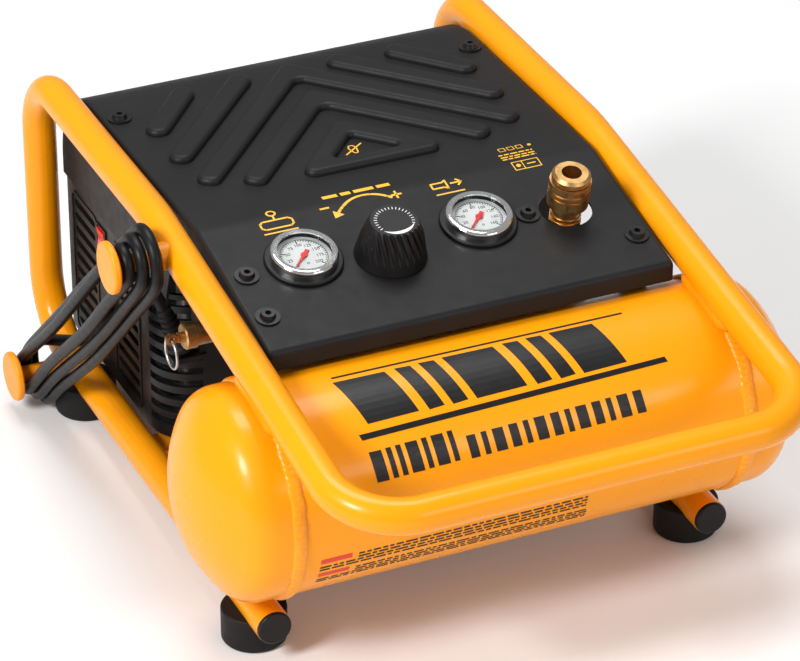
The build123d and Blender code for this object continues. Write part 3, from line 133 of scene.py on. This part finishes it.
def surface(name, color, rough, metallic=0.0, tone=0.12, tone_scale=25, grain=900, grain_depth=0.00002,
            grain_strength=0.3, swell=None, rough_spread=0.06, **sockets):
    """General procedural surface: uneven tone and roughness, fine grain and an optional slow swell."""
    mat, nodes, links, bsdf = shader(name, color, rough, metallic, **sockets)
    vector = coords(nodes, links)
    slow = noise_node(nodes, links, vector, tone_scale, 4)
    dark = tuple(c * (1 - tone) for c in color)
    light = tuple(min(1, c * (1 + tone)) for c in color)
    links.new(ramp(nodes, links, slow, [(0.3, dark), (0.7, light)]), bsdf.inputs["Base Color"])
    middle = noise_node(nodes, links, vector, tone_scale * 5, 3)
    links.new(spread(nodes, links, middle, rough - rough_spread, rough + rough_spread),
              bsdf.inputs["Roughness"])
    layers = [(noise_node(nodes, links, vector, grain, 2), grain_strength, grain_depth)]
    if swell:
        layers.append((noise_node(nodes, links, vector, swell[0], 2), swell[1], swell[2]))
    bumps(nodes, links, bsdf, layers)
    return mat


YELLOW = (0.9, 0.315, 0.002)
paint = surface("yellow_paint", YELLOW, 0.3, tone=0.04, tone_scale=9, grain=520, grain_depth=0.00003,
                grain_strength=0.18, swell=(60, 0.25, 0.0002), rough_spread=0.05,
                Specular_IOR_Level=0.2, Coat_Weight=0.14, Coat_Roughness=0.14)
weld_paint = surface("weld_paint", YELLOW, 0.33, tone=0.06, tone_scale=30, grain=500,
                     grain_depth=0.0002, grain_strength=0.5, swell=(160, 0.8, 0.0009),
                     Specular_IOR_Level=0.3, Coat_Weight=0.15, Coat_Roughness=0.2)
cover_black = surface("cover_black", (0.010, 0.010, 0.0105), 0.5, tone=0.15, grain=2200,
                      grain_depth=0.00006, grain_strength=0.55, swell=(70, 0.15, 0.0002),
                      rough_spread=0.05, Specular_IOR_Level=0.22)
shroud_black = surface("shroud_plastic", (0.009, 0.0092, 0.0098), 0.42, grain=3200,
                       grain_depth=0.00004, grain_strength=0.45, Specular_IOR_Level=0.28)
plastic = surface("black_plastic", (0.006, 0.006, 0.0064), 0.42, grain=3500,
                  grain_depth=0.00003, grain_strength=0.35, Specular_IOR_Level=0.28)
rubber = surface("black_rubber", (0.007, 0.007, 0.007), 0.6, tone=0.2, grain=2600,
                 grain_depth=0.00005, grain_strength=0.5, Specular_IOR_Level=0.25)
cord_black = surface("cord_jacket", (0.006, 0.006, 0.0065), 0.42, tone=0.2, tone_scale=60, grain=1800,
                     grain_depth=0.00004, grain_strength=0.35, Specular_IOR_Level=0.2)
orange = surface("orange_plastic", (0.9, 0.29, 0.006), 0.38, tone=0.06, grain=1500,
                 grain_depth=0.00004, grain_strength=0.4, Specular_IOR_Level=0.3)
red = surface("red_plastic", (0.75, 0.012, 0.01), 0.3, tone=0.06, Coat_Weight=0.3)
screw_black = surface("black_oxide", (0.02, 0.02, 0.021), 0.32, 0.6, tone=0.2, tone_scale=120, grain=2500,
                      grain_depth=0.00003)
zinc = surface("zinc_steel", (0.55, 0.55, 0.54), 0.34, 1.0, tone=0.12, tone_scale=60, grain=1400,
               grain_depth=0.00003)
chrome = surface("chrome", (0.78, 0.78, 0.79), 0.1, 1.0, tone=0.03, grain=900, grain_depth=0.000005,
                 rough_spread=0.03)
cast_aluminium = surface("cast_aluminium", (0.5, 0.5, 0.51), 0.45, 1.0, tone=0.12, tone_scale=50,
                         grain=900, grain_depth=0.0002, grain_strength=0.4)
tube_aluminium = surface("tube_aluminium", (0.7, 0.7, 0.71), 0.25, 1.0, tone=0.06, grain=700)
iron = surface("cast_iron", (0.12, 0.12, 0.125), 0.6, 0.8, tone=0.2, grain=700, grain_depth=0.0002)
dial_white = surface("dial_white", (0.8, 0.8, 0.79), 0.5, tone=0.03, grain=2500, grain_depth=0.00001)
ink = surface("black_ink", (0.008, 0.008, 0.008), 0.4, tone=0.2, tone_scale=120, grain=2500,
              Specular_IOR_Level=0.3)
ink_yellow = surface("yellow_ink", (0.86, 0.46, 0.03), 0.5, tone=0.1, tone_scale=200, grain=2500)
ink_white = surface("white_ink", (0.8, 0.8, 0.8), 0.5, tone=0.06, grain=2500)
ink_red = surface("red_ink", (0.72, 0.03, 0.01), 0.45, tone=0.06, grain=2500)


def brass_material():
    """Turned brass: fine tool rings round the part and uneven tarnish."""
    mat, nodes, links, bsdf = shader("turned_brass", (0.62, 0.38, 0.16), 0.38, 1.0)
    vector = coords(nodes, links)
    tarnish = noise_node(nodes, links, vector, 130, 5)
    links.new(ramp(nodes, links, tarnish, [(0.3, (0.4, 0.21, 0.07)), (0.55, (0.6, 0.36, 0.14)),
                                           (0.8, (0.7, 0.47, 0.22))]), bsdf.inputs["Base Color"])
    links.new(spread(nodes, links, noise_node(nodes, links, vector, 300, 3), 0.3, 0.48),
              bsdf.inputs["Roughness"])
    rings = noise_node(nodes, links, coords(nodes, links, (60, 60, 2600)), 1.0, 2)
    bumps(nodes, links, bsdf, [(rings, 0.25, 0.00003)])
    return mat


brass = brass_material()


def lens_material():
    mat, nodes, links, bsdf = shader("lens", (0.96, 0.98, 0.98), 0.03, 0.0, Transmission_Weight=1.0,
                                     IOR=1.2)
    scuff = noise_node(nodes, links, coords(nodes, links), 90, 4)
    links.new(spread(nodes, links, scuff, 0.01, 0.06), bsdf.inputs["Roughness"])
    return mat


lens = lens_material()


def paint_node(mat, *names):
    for name in names:
        node = NODES[name]
        for slot in node.material_slots:
            slot.material = mat
        if not node.material_slots:
            node.data.materials.append(mat)


paint_node(paint, "side_tube_left", "side_tube_right", "front_bar", "tank_shell", "tank_heads",
           "frame_brackets")
paint_node(weld_paint, "tank_welds", "frame_welds")
paint_node(cover_black, "top_cover", "gauge_cases", "cover_brackets")
paint_node(shroud_black, "shroud_left", "shroud_right")
paint_node(plastic, "tube_plugs", "gauge_surrounds", "regulator_knob", "pressure_switch", "fan",
           "intake_filter", "piston_cup")
paint_node(rubber, "rubber_feet", "vibration_mounts", "strain_relief", "cord_lead", "cord_hank", "plug")
paint_node(orange, "cord_hooks")
paint_node(red, "power_switch", "tank_gauge_needle", "outlet_gauge_needle")
paint_node(screw_black, "cover_screws")
paint_node(zinc, "motor_tray", "bearings", "rotor", "valve_plate", "head_bolts",
           "safety_valve_ring")
paint_node(chrome, "gauge_bezels")
paint_node(cast_aluminium, "manifold", "crankcase", "motor_bracket", "cylinder", "cylinder_head",
           "connecting_rod")
paint_node(tube_aluminium, "discharge_tube")
paint_node(iron, "stator", "crank_disc")
paint_node(brass, "regulator_body", "coupler_body", "coupler_sleeve", "coupler_poppet", "check_valve",
           "tank_tee", "safety_valve_body", "safety_valve_stem", "drain_valve_body", "drain_handle")
paint_node(dial_white, "gauge_dials")
paint_node(lens, "gauge_lenses")


# ------------------------------------------------------------------ shared mesh helpers
def piece(name, verts, faces, mat, body="frame", slot=None, smooth=True):
    mesh = bpy.data.meshes.new(name)
    mesh.from_pydata([tuple(v) for v in verts], [], faces)
    work = bmesh.new()
    work.from_mesh(mesh)
    bmesh.ops.remove_doubles(work, verts=work.verts, dist=0.000002)
    bmesh.ops.dissolve_degenerate(work, edges=work.edges, dist=0.000002)
    bmesh.ops.recalc_face_normals(work, faces=work.faces)
    work.to_mesh(mesh)
    work.free()
    mesh.materials.append(mat)
    for polygon in mesh.polygons:
        polygon.use_smooth = smooth
    obj = bpy.data.objects.new(name, mesh)
    bpy.context.collection.objects.link(obj)
    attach(obj, body)
    return obj


def lathe(name, base, direction, profile, mat, steps=48, **place):
    """Turned shape: profile points (distance along direction, radius) in mm from base in mm."""
    direction = Vector(direction).normalized()
    side = direction.orthogonal().normalized()
    other = direction.cross(side)
    verts, faces = [], []
    for along, radius in profile:
        for step in range(steps):
            angle = 2 * math.pi * step / steps
            verts.append(metres(Vector(base) + direction * along
                                + (side * math.cos(angle) + other * math.sin(angle)) * radius))
    for ring in range(len(profile) - 1):
        for step in range(steps):
            a, b = ring * steps + step, ring * steps + (step + 1) % steps
            faces.append((a, b, b + steps, a + steps))
    if profile[0][1] > 0:
        faces.append(tuple(reversed(range(steps))))
    if profile[-1][1] > 0:
        faces.append(tuple(range(len(verts) - steps, len(verts))))
    return piece(name, verts, faces, mat, **place)


# ------------------------------------------------------------------ mains lead
HOOK_A = Vector((0, 8.0, 201.25))
HOOK_B = Vector((0, 185.4, 34.0))
WRAP_DIR = (HOOK_B - HOOK_A).normalized()
WRAP_NORMAL = Vector((0, -WRAP_DIR.z, WRAP_DIR.y))
WRAP_LEN = (HOOK_B - HOOK_A).length
CORD_R = 3.6
BOOT_BASE = Vector((-118.0, 50.0, 114.0))
BOOT_DIR = Vector((-0.343, 0, 0.939)).normalized()
BOOT_TIP = BOOT_BASE + BOOT_DIR * 30
CORNER_REACH = 1.1


def wrap(x, run, offset):
    """A place by the hooks: run along the line between them, offset square to it, in mm."""
    return HOOK_A + WRAP_DIR * run + WRAP_NORMAL * offset + Vector((x, 0, 0))


def turn(x0, x1, radius, run, angles):
    """Control points of a half turn; they lie outside it, since the spline cuts the corners."""
    reach = CORNER_REACH * radius
    last = len(angles) - 1
    return [wrap(x0 + (x1 - x0) * step / last, run + reach * math.cos(math.radians(angle)),
                 reach * math.sin(math.radians(angle))) for step, angle in enumerate(angles)]


def top_turn(x0, x1, radius):
    """Over the upper hook, from the upper strand side to the lower one."""
    return turn(x0, x1, radius, 0, (90, 132, 180, 228, 270))


def low_turn(x0, x1, radius):
    """Round the lower hook, from the lower strand side back to the upper one."""
    return turn(x0, x1, radius, WRAP_LEN, (-90, -48, 0, 48, 90))


route = [BOOT_TIP, BOOT_TIP + BOOT_DIR * 13, wrap(-141, 53, 2), wrap(-150, 42, 3), wrap(-158, 31, 5),
         wrap(-164.5, 19, 8)]
route += top_turn(-166.7, -166.4, 8.9)
route += [wrap(-167.3, 42, -9.6), wrap(-167.0, 88, -11.6), wrap(-167.2, 136, -10.4),
          wrap(-167.3, 184, -8.2), wrap(-167.3, 216, -9.0)]
route += low_turn(-167.3, -167.0, 8.9)
route += [wrap(-166.6, 208, 8.6), wrap(-166.2, 160, 6.8), wrap(-165.8, 112, 8.0), wrap(-163.4, 66, 10.6),
          wrap(-160.8, 30, 12.2)]
route += top_turn(-159.6, -159.6, 12.9)
route += [wrap(-159.2, 40, -15.0), wrap(-159.8, 86, -17.2), wrap(-160.8, 134, -16.6),
          wrap(-161.4, 182, -14.2), wrap(-161.6, 214, -13.4)]
route += low_turn(-161.7, -161.4, 13.2)
route += [wrap(-160.6, 206, 14.6), wrap(-159.4, 158, 14.4), wrap(-158.6, 110, 15.6),
          wrap(-155.6, 64, 16.6), wrap(-153.6, 28, 16.6)]
route += top_turn(-152.8, -152.8, 16.7)
route += [wrap(-152.8, 44, -18.8), wrap(-153.8, 90, -20.8), wrap(-155.0, 138, -22.0),
          wrap(-155.8, 184, -19.6), wrap(-156.2, 216, -17.8)]
route += low_turn(-156.2, -156.2, 17.2)
route += [wrap(-153.0, 226, 14.0), wrap(-148.0, 211, 8.0), wrap(-142.0, 196, 2.6), wrap(-139, 182, 0),
          wrap(-139, 166, 0)]

curve = bpy.data.curves.new("mains_lead", "CURVE")
curve.dimensions = "3D"
curve.bevel_depth = CORD_R * MM
curve.bevel_resolution = 5
curve.use_fill_caps = True
curve.resolution_u = 8
spline = curve.splines.new("NURBS")
spline.points.add(len(route) - 1)
for point, spot in zip(spline.points, route):
    point.co = (*metres(spot), 1)
spline.order_u = 3
spline.use_endpoint_u = True
curve.materials.append(cord_black)
lead = bpy.data.objects.new("mains_lead", curve)
bpy.context.collection.objects.link(lead)
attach(lead, "frame")
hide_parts("cord_lead", "cord_hank")


PLUG_BASE = route[-1]
grip_profile = [(-1.5, 0.0), (-1.5, 4.3), (0, 4.7)]
for rib in range(5):
    at = 2 + 2.6 * rib
    grip_profile += [(at, 5.0 + 0.75 * rib), (at + 1.3, 5.3 + 0.75 * rib), (at + 1.5, 4.5 + 0.75 * rib),
                   (at + 2.4, 4.7 + 0.75 * rib)]
grip_profile += [(16, 8.8), (17.5, 9.4), (26, 9.4), (29, 9.1), (30, 8.0), (30, 0.0)]
plug_body = lathe("plug_grip", PLUG_BASE, -WRAP_DIR, grip_profile, rubber, slot="rubber")
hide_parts("plug")


def prism(name, centre, axes, halves, mat, bevel=0.2, **place):
    """Bevelled bar with its own axes, sizes in mm."""
    mesh = bpy.data.meshes.new(name)
    work = bmesh.new()
    bmesh.ops.create_cube(work, size=2.0)
    for vert in work.verts:
        vert.co = Vector(centre) + sum((axis * half * c for axis, half, c in
                                        zip(axes, halves, vert.co)), Vector())
    bmesh.ops.bevel(work, geom=list(work.edges), offset=bevel, segments=2, affect="EDGES")
    for vert in work.verts:
        vert.co = metres(vert.co)
    bmesh.ops.recalc_face_normals(work, faces=work.faces)
    work.to_mesh(mesh)
    work.free()
    mesh.materials.append(mat)
    obj = bpy.data.objects.new(name, mesh)
    bpy.context.collection.objects.link(obj)
    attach(obj, place.get("body", "frame"))
    return obj


X_AXIS = Vector((1, 0, 0))
blades = [prism(f"plug_blade_{index}", PLUG_BASE - WRAP_DIR * 38.5 + WRAP_NORMAL * shift,
                (X_AXIS, WRAP_NORMAL, WRAP_DIR), (3.1, 0.7, 8.3), zinc)
          for index, shift in enumerate((-6.35, 6.35))]
ground_pin = lathe("plug_ground", PLUG_BASE - WRAP_DIR * 29.8 + X_AXIS * 6.2, -WRAP_DIR,
                   [(0, 0), (0, 2.3), (15, 2.3), (17.5, 1.5), (18.4, 0)], zinc, steps=24, slot="steel")

boot_profile = [(0, 0), (0, 7.8), (3.4, 7.9), (4, 7.4), (4.2, 6.3)]
for rib in range(6):
    at = 5.2 + 3.7 * rib
    wide = 6.5 - 0.37 * rib
    boot_profile += [(at, wide), (at + 1.8, wide), (at + 2.1, wide - 0.9), (at + 3.2, wide - 1.0)]
boot_profile += [(28.4, 4.45), (29.8, 4.3), (29.9, 0)]
boot = lathe("ribbed_boot", BOOT_BASE, BOOT_DIR, boot_profile, rubber, slot="rubber")
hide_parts("strain_relief")

# ------------------------------------------------------------------ weld beads on the tank seams
TANK = Vector((0, -103.5, 113.4))
TANK_R = 60.0


def weld_ring(name, x, seed):
    """Uneven hand-laid bead round the tank, rippled along its length."""
    around, across = 420, 10
    verts, faces = [], []
    for step in range(around):
        angle = 2 * math.pi * step / around
        wander = noise.noise(Vector((math.cos(angle) * 6, math.sin(angle) * 6, seed))) * 0.9
        ripple = 0.28 * math.sin(step * 2 * math.pi / 4.2 + 2 * wander)
        lump = noise.noise(Vector((math.cos(angle) * 14, math.sin(angle) * 14, seed + 9))) * 0.5
        for slot in range(across + 1):
            t = slot / across * 2 - 1
            height = (2.5 + ripple + lump) * math.sqrt(max(0, 1 - t * t)) - 0.8
            radius = TANK_R + height
            verts.append(metres((x + wander + t * (4.6 + 0.5 * lump),
                                 TANK.y + radius * math.cos(angle),
                                 TANK.z + radius * math.sin(angle))))
    for step in range(around):
        for slot in range(across + 1):
            a, b = step * (across + 1), ((step + 1) % around) * (across + 1)
            after = (slot + 1) % (across + 1)
            faces.append((a + slot, b + slot, b + after, a + after))
    return piece(name, verts, faces, weld_paint, slot="yellow_paint")


beads = [weld_ring("seam_bead_left", -134.5, 1.0), weld_ring("seam_bead_right", 134.5, 5.0)]
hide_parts("tank_welds")


# ------------------------------------------------------------------ printed marks
TANK_INK_LIFT = 0.12
COVER_INK_LIFT = 0.1
FACE_INK_LIFT = 0.07


class Print:
    """Flat printed shapes, drawn in 2-D and carried onto a surface by a mapping."""

    def __init__(self, place, cell=3.0):
        self.place, self.cell = place, cell
        self.verts, self.faces = [], []

    def quad(self, a, b, c, d):
        """Four corners in order; cut into cells so that it follows a curved surface."""
        a, b, c, d = (Vector((*p, 0)) for p in (a, b, c, d))
        n = max(1, math.ceil(max((b - a).length, (c - d).length) / self.cell))
        m = max(1, math.ceil(max((d - a).length, (c - b).length) / self.cell))
        start = len(self.verts)
        for j in range(m + 1):
            for i in range(n + 1):
                low, high = a.lerp(b, i / n), d.lerp(c, i / n)
                spot = low.lerp(high, j / m)
                self.verts.append(self.place(spot.x, spot.y))
        for j in range(m):
            for i in range(n):
                k = start + j * (n + 1) + i
                self.faces.append((k, k + 1, k + n + 2, k + n + 1))

    def bar(self, x0, y0, x1, y1):
        self.quad((x0, y0), (x1, y0), (x1, y1), (x0, y1))

    def stroke(self, points, width, closed=False):
        points = list(points) + ([points[0]] if closed else [])
        for (x0, y0), (x1, y1) in zip(points, points[1:]):
            run = Vector((x1 - x0, y1 - y0))
            if run.length == 0:
                continue
            side = Vector((-run.y, run.x)).normalized() * width / 2
            over = run.normalized() * width * 0.25
            self.quad((x0 - over.x - side.x, y0 - over.y - side.y),
                      (x1 + over.x - side.x, y1 + over.y - side.y),
                      (x1 + over.x + side.x, y1 + over.y + side.y),
                      (x0 - over.x + side.x, y0 - over.y + side.y))

    def arc(self, cx, cy, r0, r1, a0, a1, steps=24, taper=False):
        """Ring segment between two radii; tapered, it is a crescent."""
        for step in range(steps):
            pair = []
            for t in (step / steps, (step + 1) / steps):
                a = math.radians(a0 + (a1 - a0) * t)
                grow = math.sin(math.pi * t) if taper else 1.0
                inner = r1 - (r1 - r0) * grow
                pair.append(((cx + inner * math.cos(a), cy + inner * math.sin(a)),
                             (cx + r1 * math.cos(a), cy + r1 * math.sin(a))))
            (i0, o0), (i1, o1) = pair
            self.quad(i0, o0, o1, i1)

    def text(self, words, x, y, size):
        font = bpy.data.curves.new("figures", "FONT")
        font.body, font.size = words, size
        font.align_x, font.align_y = "CENTER", "CENTER"
        font.resolution_u = 3
        holder = bpy.data.objects.new("figures", font)
        mesh = bpy.data.meshes.new_from_object(holder)
        start = len(self.verts)
        for vert in mesh.vertices:
            self.verts.append(self.place(x + vert.co.x, y + vert.co.y))
        self.faces += [tuple(start + i for i in p.vertices) for p in mesh.polygons]
        bpy.data.objects.remove(holder)
        bpy.data.curves.remove(font)
        bpy.data.meshes.remove(mesh)

    def make(self, name, mat, body="frame", slot=None):
        """The shapes as a film of ink 0.1 mm thick."""
        film = piece(name, self.verts, self.faces, mat, body=body, slot=slot, smooth=False)
        solid = film.modifiers.new("film", "SOLIDIFY")
        solid.thickness, solid.offset = 0.0001, 0
        return film


def on_tank(x, angle):
    """Point just off the tank shell: x in mm, angle in degrees above the front."""
    a = math.radians(angle)
    radius = TANK_R + TANK_INK_LIFT
    return metres((x, TANK.y - radius * math.cos(a), TANK.z + radius * math.sin(a)))


def hit(name):
    """A finder of a CAD node's surface along a direction, lifted off it by some mm."""
    mesh = NODES[name].data
    tree = BVHTree.FromPolygons([v.co.copy() for v in mesh.vertices],
                                [tuple(p.vertices) for p in mesh.polygons])

    def find(start, direction, lift):
        spot = tree.ray_cast(metres(start), Vector(direction))[0]
        if spot is None:
            return None
        return spot - Vector(direction) * lift * MM
    return find


NORMAL = Vector((0, -0.2195, 0.97561)).normalized()
UP = Vector((0, 0.97561, 0.2195)).normalized()
cover_hit = hit("top_cover")
dial_hit = hit("gauge_dials")
knob_hit = hit("regulator_knob")


def panel_point(x, y):
    """On the cover's panel plane, x and y in mm."""
    return Vector((x, y, 210.6 + 0.225 * (y - 10.8)))


def on_cover(x, y):
    """On the cover seen from above, or on its panel's plane where there is a hole."""
    return cover_hit((x, y, 260), (0, 0, -1), COVER_INK_LIFT) or metres(panel_point(x, y))


def on_face(finder, centre, fallback):
    """A mapping onto a face that looks along the panel's normal, with a height for gaps in it."""
    def place(a, b):
        foot = centre + X_AXIS * a + UP * b
        return finder(foot + NORMAL * 40, -NORMAL, FACE_INK_LIFT) or metres(foot + NORMAL * fallback)
    return place


# tank graphic: two rules, a row of slanted blocks, and a row of small bars
graphic = Print(on_tank, cell=4.0)
graphic.quad((-92, 86.6), (81, 85.2), (81, 86.5), (-92, 88.0))
graphic.quad((-91, 45.6), (92, 49.2), (91, 52.2), (-92, 48.8))
low, high = 54.5, 83.5
blocks = [(-86, 30), (-50, 9), (-36, 9), (-22, 30), (14, 9), (28, 9), (42, 26)]
for left, width in blocks:
    graphic.quad((left + 1, low - 1), (left + width + 1, low - 0.4), (left + width - 7, high - 0.5),
                 (left - 7, high))
small = Print(on_tank, cell=4.0)
left = -88.0
for width in (7, 3, 3, 7, 3, 7, 3):
    lift = 0.03 * (left + 88)
    small.quad((left, 23 + lift), (left + width, 23 + lift), (left + width - 1.5, 39 + lift),
               (left - 1.5, 39 + lift))
    left += width + 2.6
left += 4
for index in range(13):
    lift = 0.024 * (left + 88)
    width = (5.2, 3.2, 6.4)[index % 3]
    small.quad((left, 22.5 + lift), (left + width, 22.5 + lift), (left + width - 1, 34.5 + lift),
               (left - 1, 34.5 + lift))
    left += width + 3.4
graphic.make("tank_graphic", ink, slot="black_plastic")
small.make("tank_graphic_small", ink, slot="black_plastic")

# rows of short dashes low on the tank
rows = Print(on_tank, cell=4.0)
flags = Print(on_tank, cell=4.0)
for angle, x_end in ((-15.0, 36.0), (-26.5, 38.0)):
    flags.bar(-122, angle - 2.6, -104, angle + 0.6)
    for row in range(4):
        level = angle - 0.6 - 2.3 * row
        x = -100.0 if row < 2 else -122.0
        while x < x_end:
            size = random.uniform(2.0, 7.5)
            rows.bar(x, level - 0.9, min(x + size, x_end), level + 0.2)
            x += size + 1.3
rows.make("dash_rows", ink, slot="black_plastic")
flags.make("dash_flags", ink_red, slot="red_plastic")

# pictograms on the cover
marks = Print(on_cover, cell=2.5)
CAPSULE = [(-6, -2.6), (6, -2.6), (7.6, -1.4), (7.6, 1.4), (6, 2.6), (-6, 2.6), (-7.6, 1.4), (-7.6, -1.4)]


def moved(points, x, y, scale=1.0):
    return [(x + px * scale, y + py * scale) for px, py in points]


marks.stroke(moved(CAPSULE, -77, 3.2, 1.25), 1.1, closed=True)
marks.stroke([(-77, 6.4), (-77, 10.0)], 1.1)
marks.arc(-77, 12.6, 1.9, 3.0, 0, 360, 16)
marks.stroke([(-87, -3.4), (-67, -3.4)], 1.0)
for mark_x, width in ((-44, 9), (-33, 6), (-25, 12), (-11, 8)):
    marks.bar(mark_x, 15.4, mark_x + width, 18.6)
marks.stroke([(-6.6, 6), (-0.8, 6)], 1.3)
marks.stroke([(-3.7, 3.2), (-3.7, 8.8)], 1.3)
marks.stroke([(-49.4, 7), (-44.4, 7)], 1.3)
arc_points = [(-40.6 + 33.6 * t, 1.6 + 33 * t * (1 - t) + 3.0 * t) for t in [k / 16 for k in range(17)]]
marks.stroke(arc_points, 1.6)
marks.quad((-44.2, -2.4), (-38.0, -0.8), (-40.8, 1.6), (-43.4, 3.6))
marks.stroke(moved([(-9, -2), (-2, -2), (0, -3.4), (0, 3.4), (-2, 2), (-9, 2)], 27, 5.6), 1.1, closed=True)
marks.stroke([(29.5, 5.6), (36, 5.6)], 1.1)
marks.stroke([(33.4, 8.0), (36, 5.6), (33.4, 3.2)], 1.1)
marks.stroke([(18, -1.6), (35, -1.6)], 1.0)
for step in range(3):
    marks.stroke([(70 + 5.4 * step, 26), (73.6 + 5.4 * step, 26), (73.6 + 5.4 * step, 29.6),
                  (70 + 5.4 * step, 29.6)], 0.5, closed=True)
marks.arc(89, 27.8, 0.0, 1.2, 0, 360, 10)
for level in (21.8, 18.8, 16.2):
    x = 67.0
    while x < 88:
        size = random.uniform(2.0, 5.0)
        marks.bar(x, level - 0.6, min(x + size, 88), level + 0.6)
        x += size + 0.9
marks.stroke([(70, 4.6), (86, 4.6), (86, 11.6), (70, 11.6)], 0.6, closed=True)
marks.stroke([(76, 4.6), (76, 11.6)], 0.5)
marks.arc(73, 8.1, 0.0, 1.4, 0, 360, 10)
marks.stroke([(78.5, 8.1), (83.5, 8.1)], 0.8)
# sole of a shoe with a bar across it, inside the triangle
marks.arc(-4.2, 61.0, 0.9, 1.7, 180, 360, 10)
marks.stroke([(-5.5, 61), (-6.6, 66), (-5.4, 69), (-3.0, 69), (-1.9, 66), (-2.9, 61)], 0.8)
marks.stroke([(-10.5, 59.6), (2.5, 69.6)], 1.0)
marks.make("cover_marks", ink_yellow, slot="white_dial")

# dials: scale ring, ticks and figures
SCALE_R = 13.2
FIGURES_R = 9.0
FIGURES_SIZE = 3.1


def polar(radius, angle):
    return radius * math.cos(angle), radius * math.sin(angle)


for index, centre_x in enumerate((-74.8, 30.6)):
    centre = panel_point(centre_x, -29.0)
    face = Print(on_face(dial_hit, centre, 3.5), cell=3.0)
    scale_top = 200 if index == 0 else 160
    for step in range(41):
        a = math.radians(225 - 270 * step / 40)
        major = step % 10 == 0
        inner = 10.6 if major else (11.6 if step % 5 == 0 else 12.1)
        face.stroke([polar(inner, a), polar(SCALE_R, a)], 0.6 if major else 0.36)
    face.arc(0, 0, SCALE_R, 13.5, -45, 225, 60)
    for step in range(9):
        a = math.radians(225 - 270 * step / 8)
        face.text(str(scale_top * step // 8), *polar(FIGURES_R, a), FIGURES_SIZE)
    face.arc(0, -6.2, 0.5, 0.8, 0, 360, 12)
    face.make(f"dial_print_{index}", ink, slot="black_plastic")

# knob: tick ring and a white crescent on its top
KNOB = panel_point(-27, -38.5)
crown = Print(on_face(knob_hit, KNOB, 24.6), cell=2.0)
for step in range(22):
    a = math.radians(-25 + 230 * step / 21)
    crown.stroke([polar(9.7, a), polar(11.3, a)], 0.38)
crown.arc(0, 0, 8.7, 10.9, 215, 335, 24, taper=True)
crown.make("knob_print", ink_white, body="regulator_knob", slot="white_dial")

# ------------------------------------------------------------------ room and light
floor_mat = surface("studio_floor", (0.83, 0.83, 0.83), 0.7, tone=0.01, tone_scale=2, grain=60)
floor = bpy.data.meshes.new("studio_floor")
floor.from_pydata([(-6, -6, 0), (6, -6, 0), (6, 6, 0), (-6, 6, 0)], [], [(0, 1, 2, 3)])
floor.materials.append(floor_mat)
floor_obj = bpy.data.objects.new("studio_floor", floor)
bpy.context.collection.objects.link(floor_obj)

world = bpy.data.worlds.new("studio")
world.use_nodes = True
world.node_tree.nodes["Background"].inputs["Color"].default_value = (1, 1, 1, 1)
world.node_tree.nodes["Background"].inputs["Strength"].default_value = 0.36
bpy.context.scene.world = world
bpy.context.scene.view_settings.view_transform = "Standard"


def softbox(name, location, size, power, target=(0, 0, 0.12)):
    light = bpy.data.lights.new(name, "AREA")
    light.shape = "RECTANGLE"
    light.size, light.size_y = size
    light.energy = power
    obj = bpy.data.objects.new(name, light)
    bpy.context.collection.objects.link(obj)
    obj.location = location
    obj.rotation_euler = (Vector(target) - Vector(location)).to_track_quat("-Z", "Y").to_euler()


softbox("key", (-1.7, -0.7, 1.5), (0.6, 0.6), 46)
softbox("front", (0.9, -2.2, 1.2), (1.2, 0.7), 12)
softbox("top", (0.1, 0.6, 2.1), (1.2, 0.9), 28)
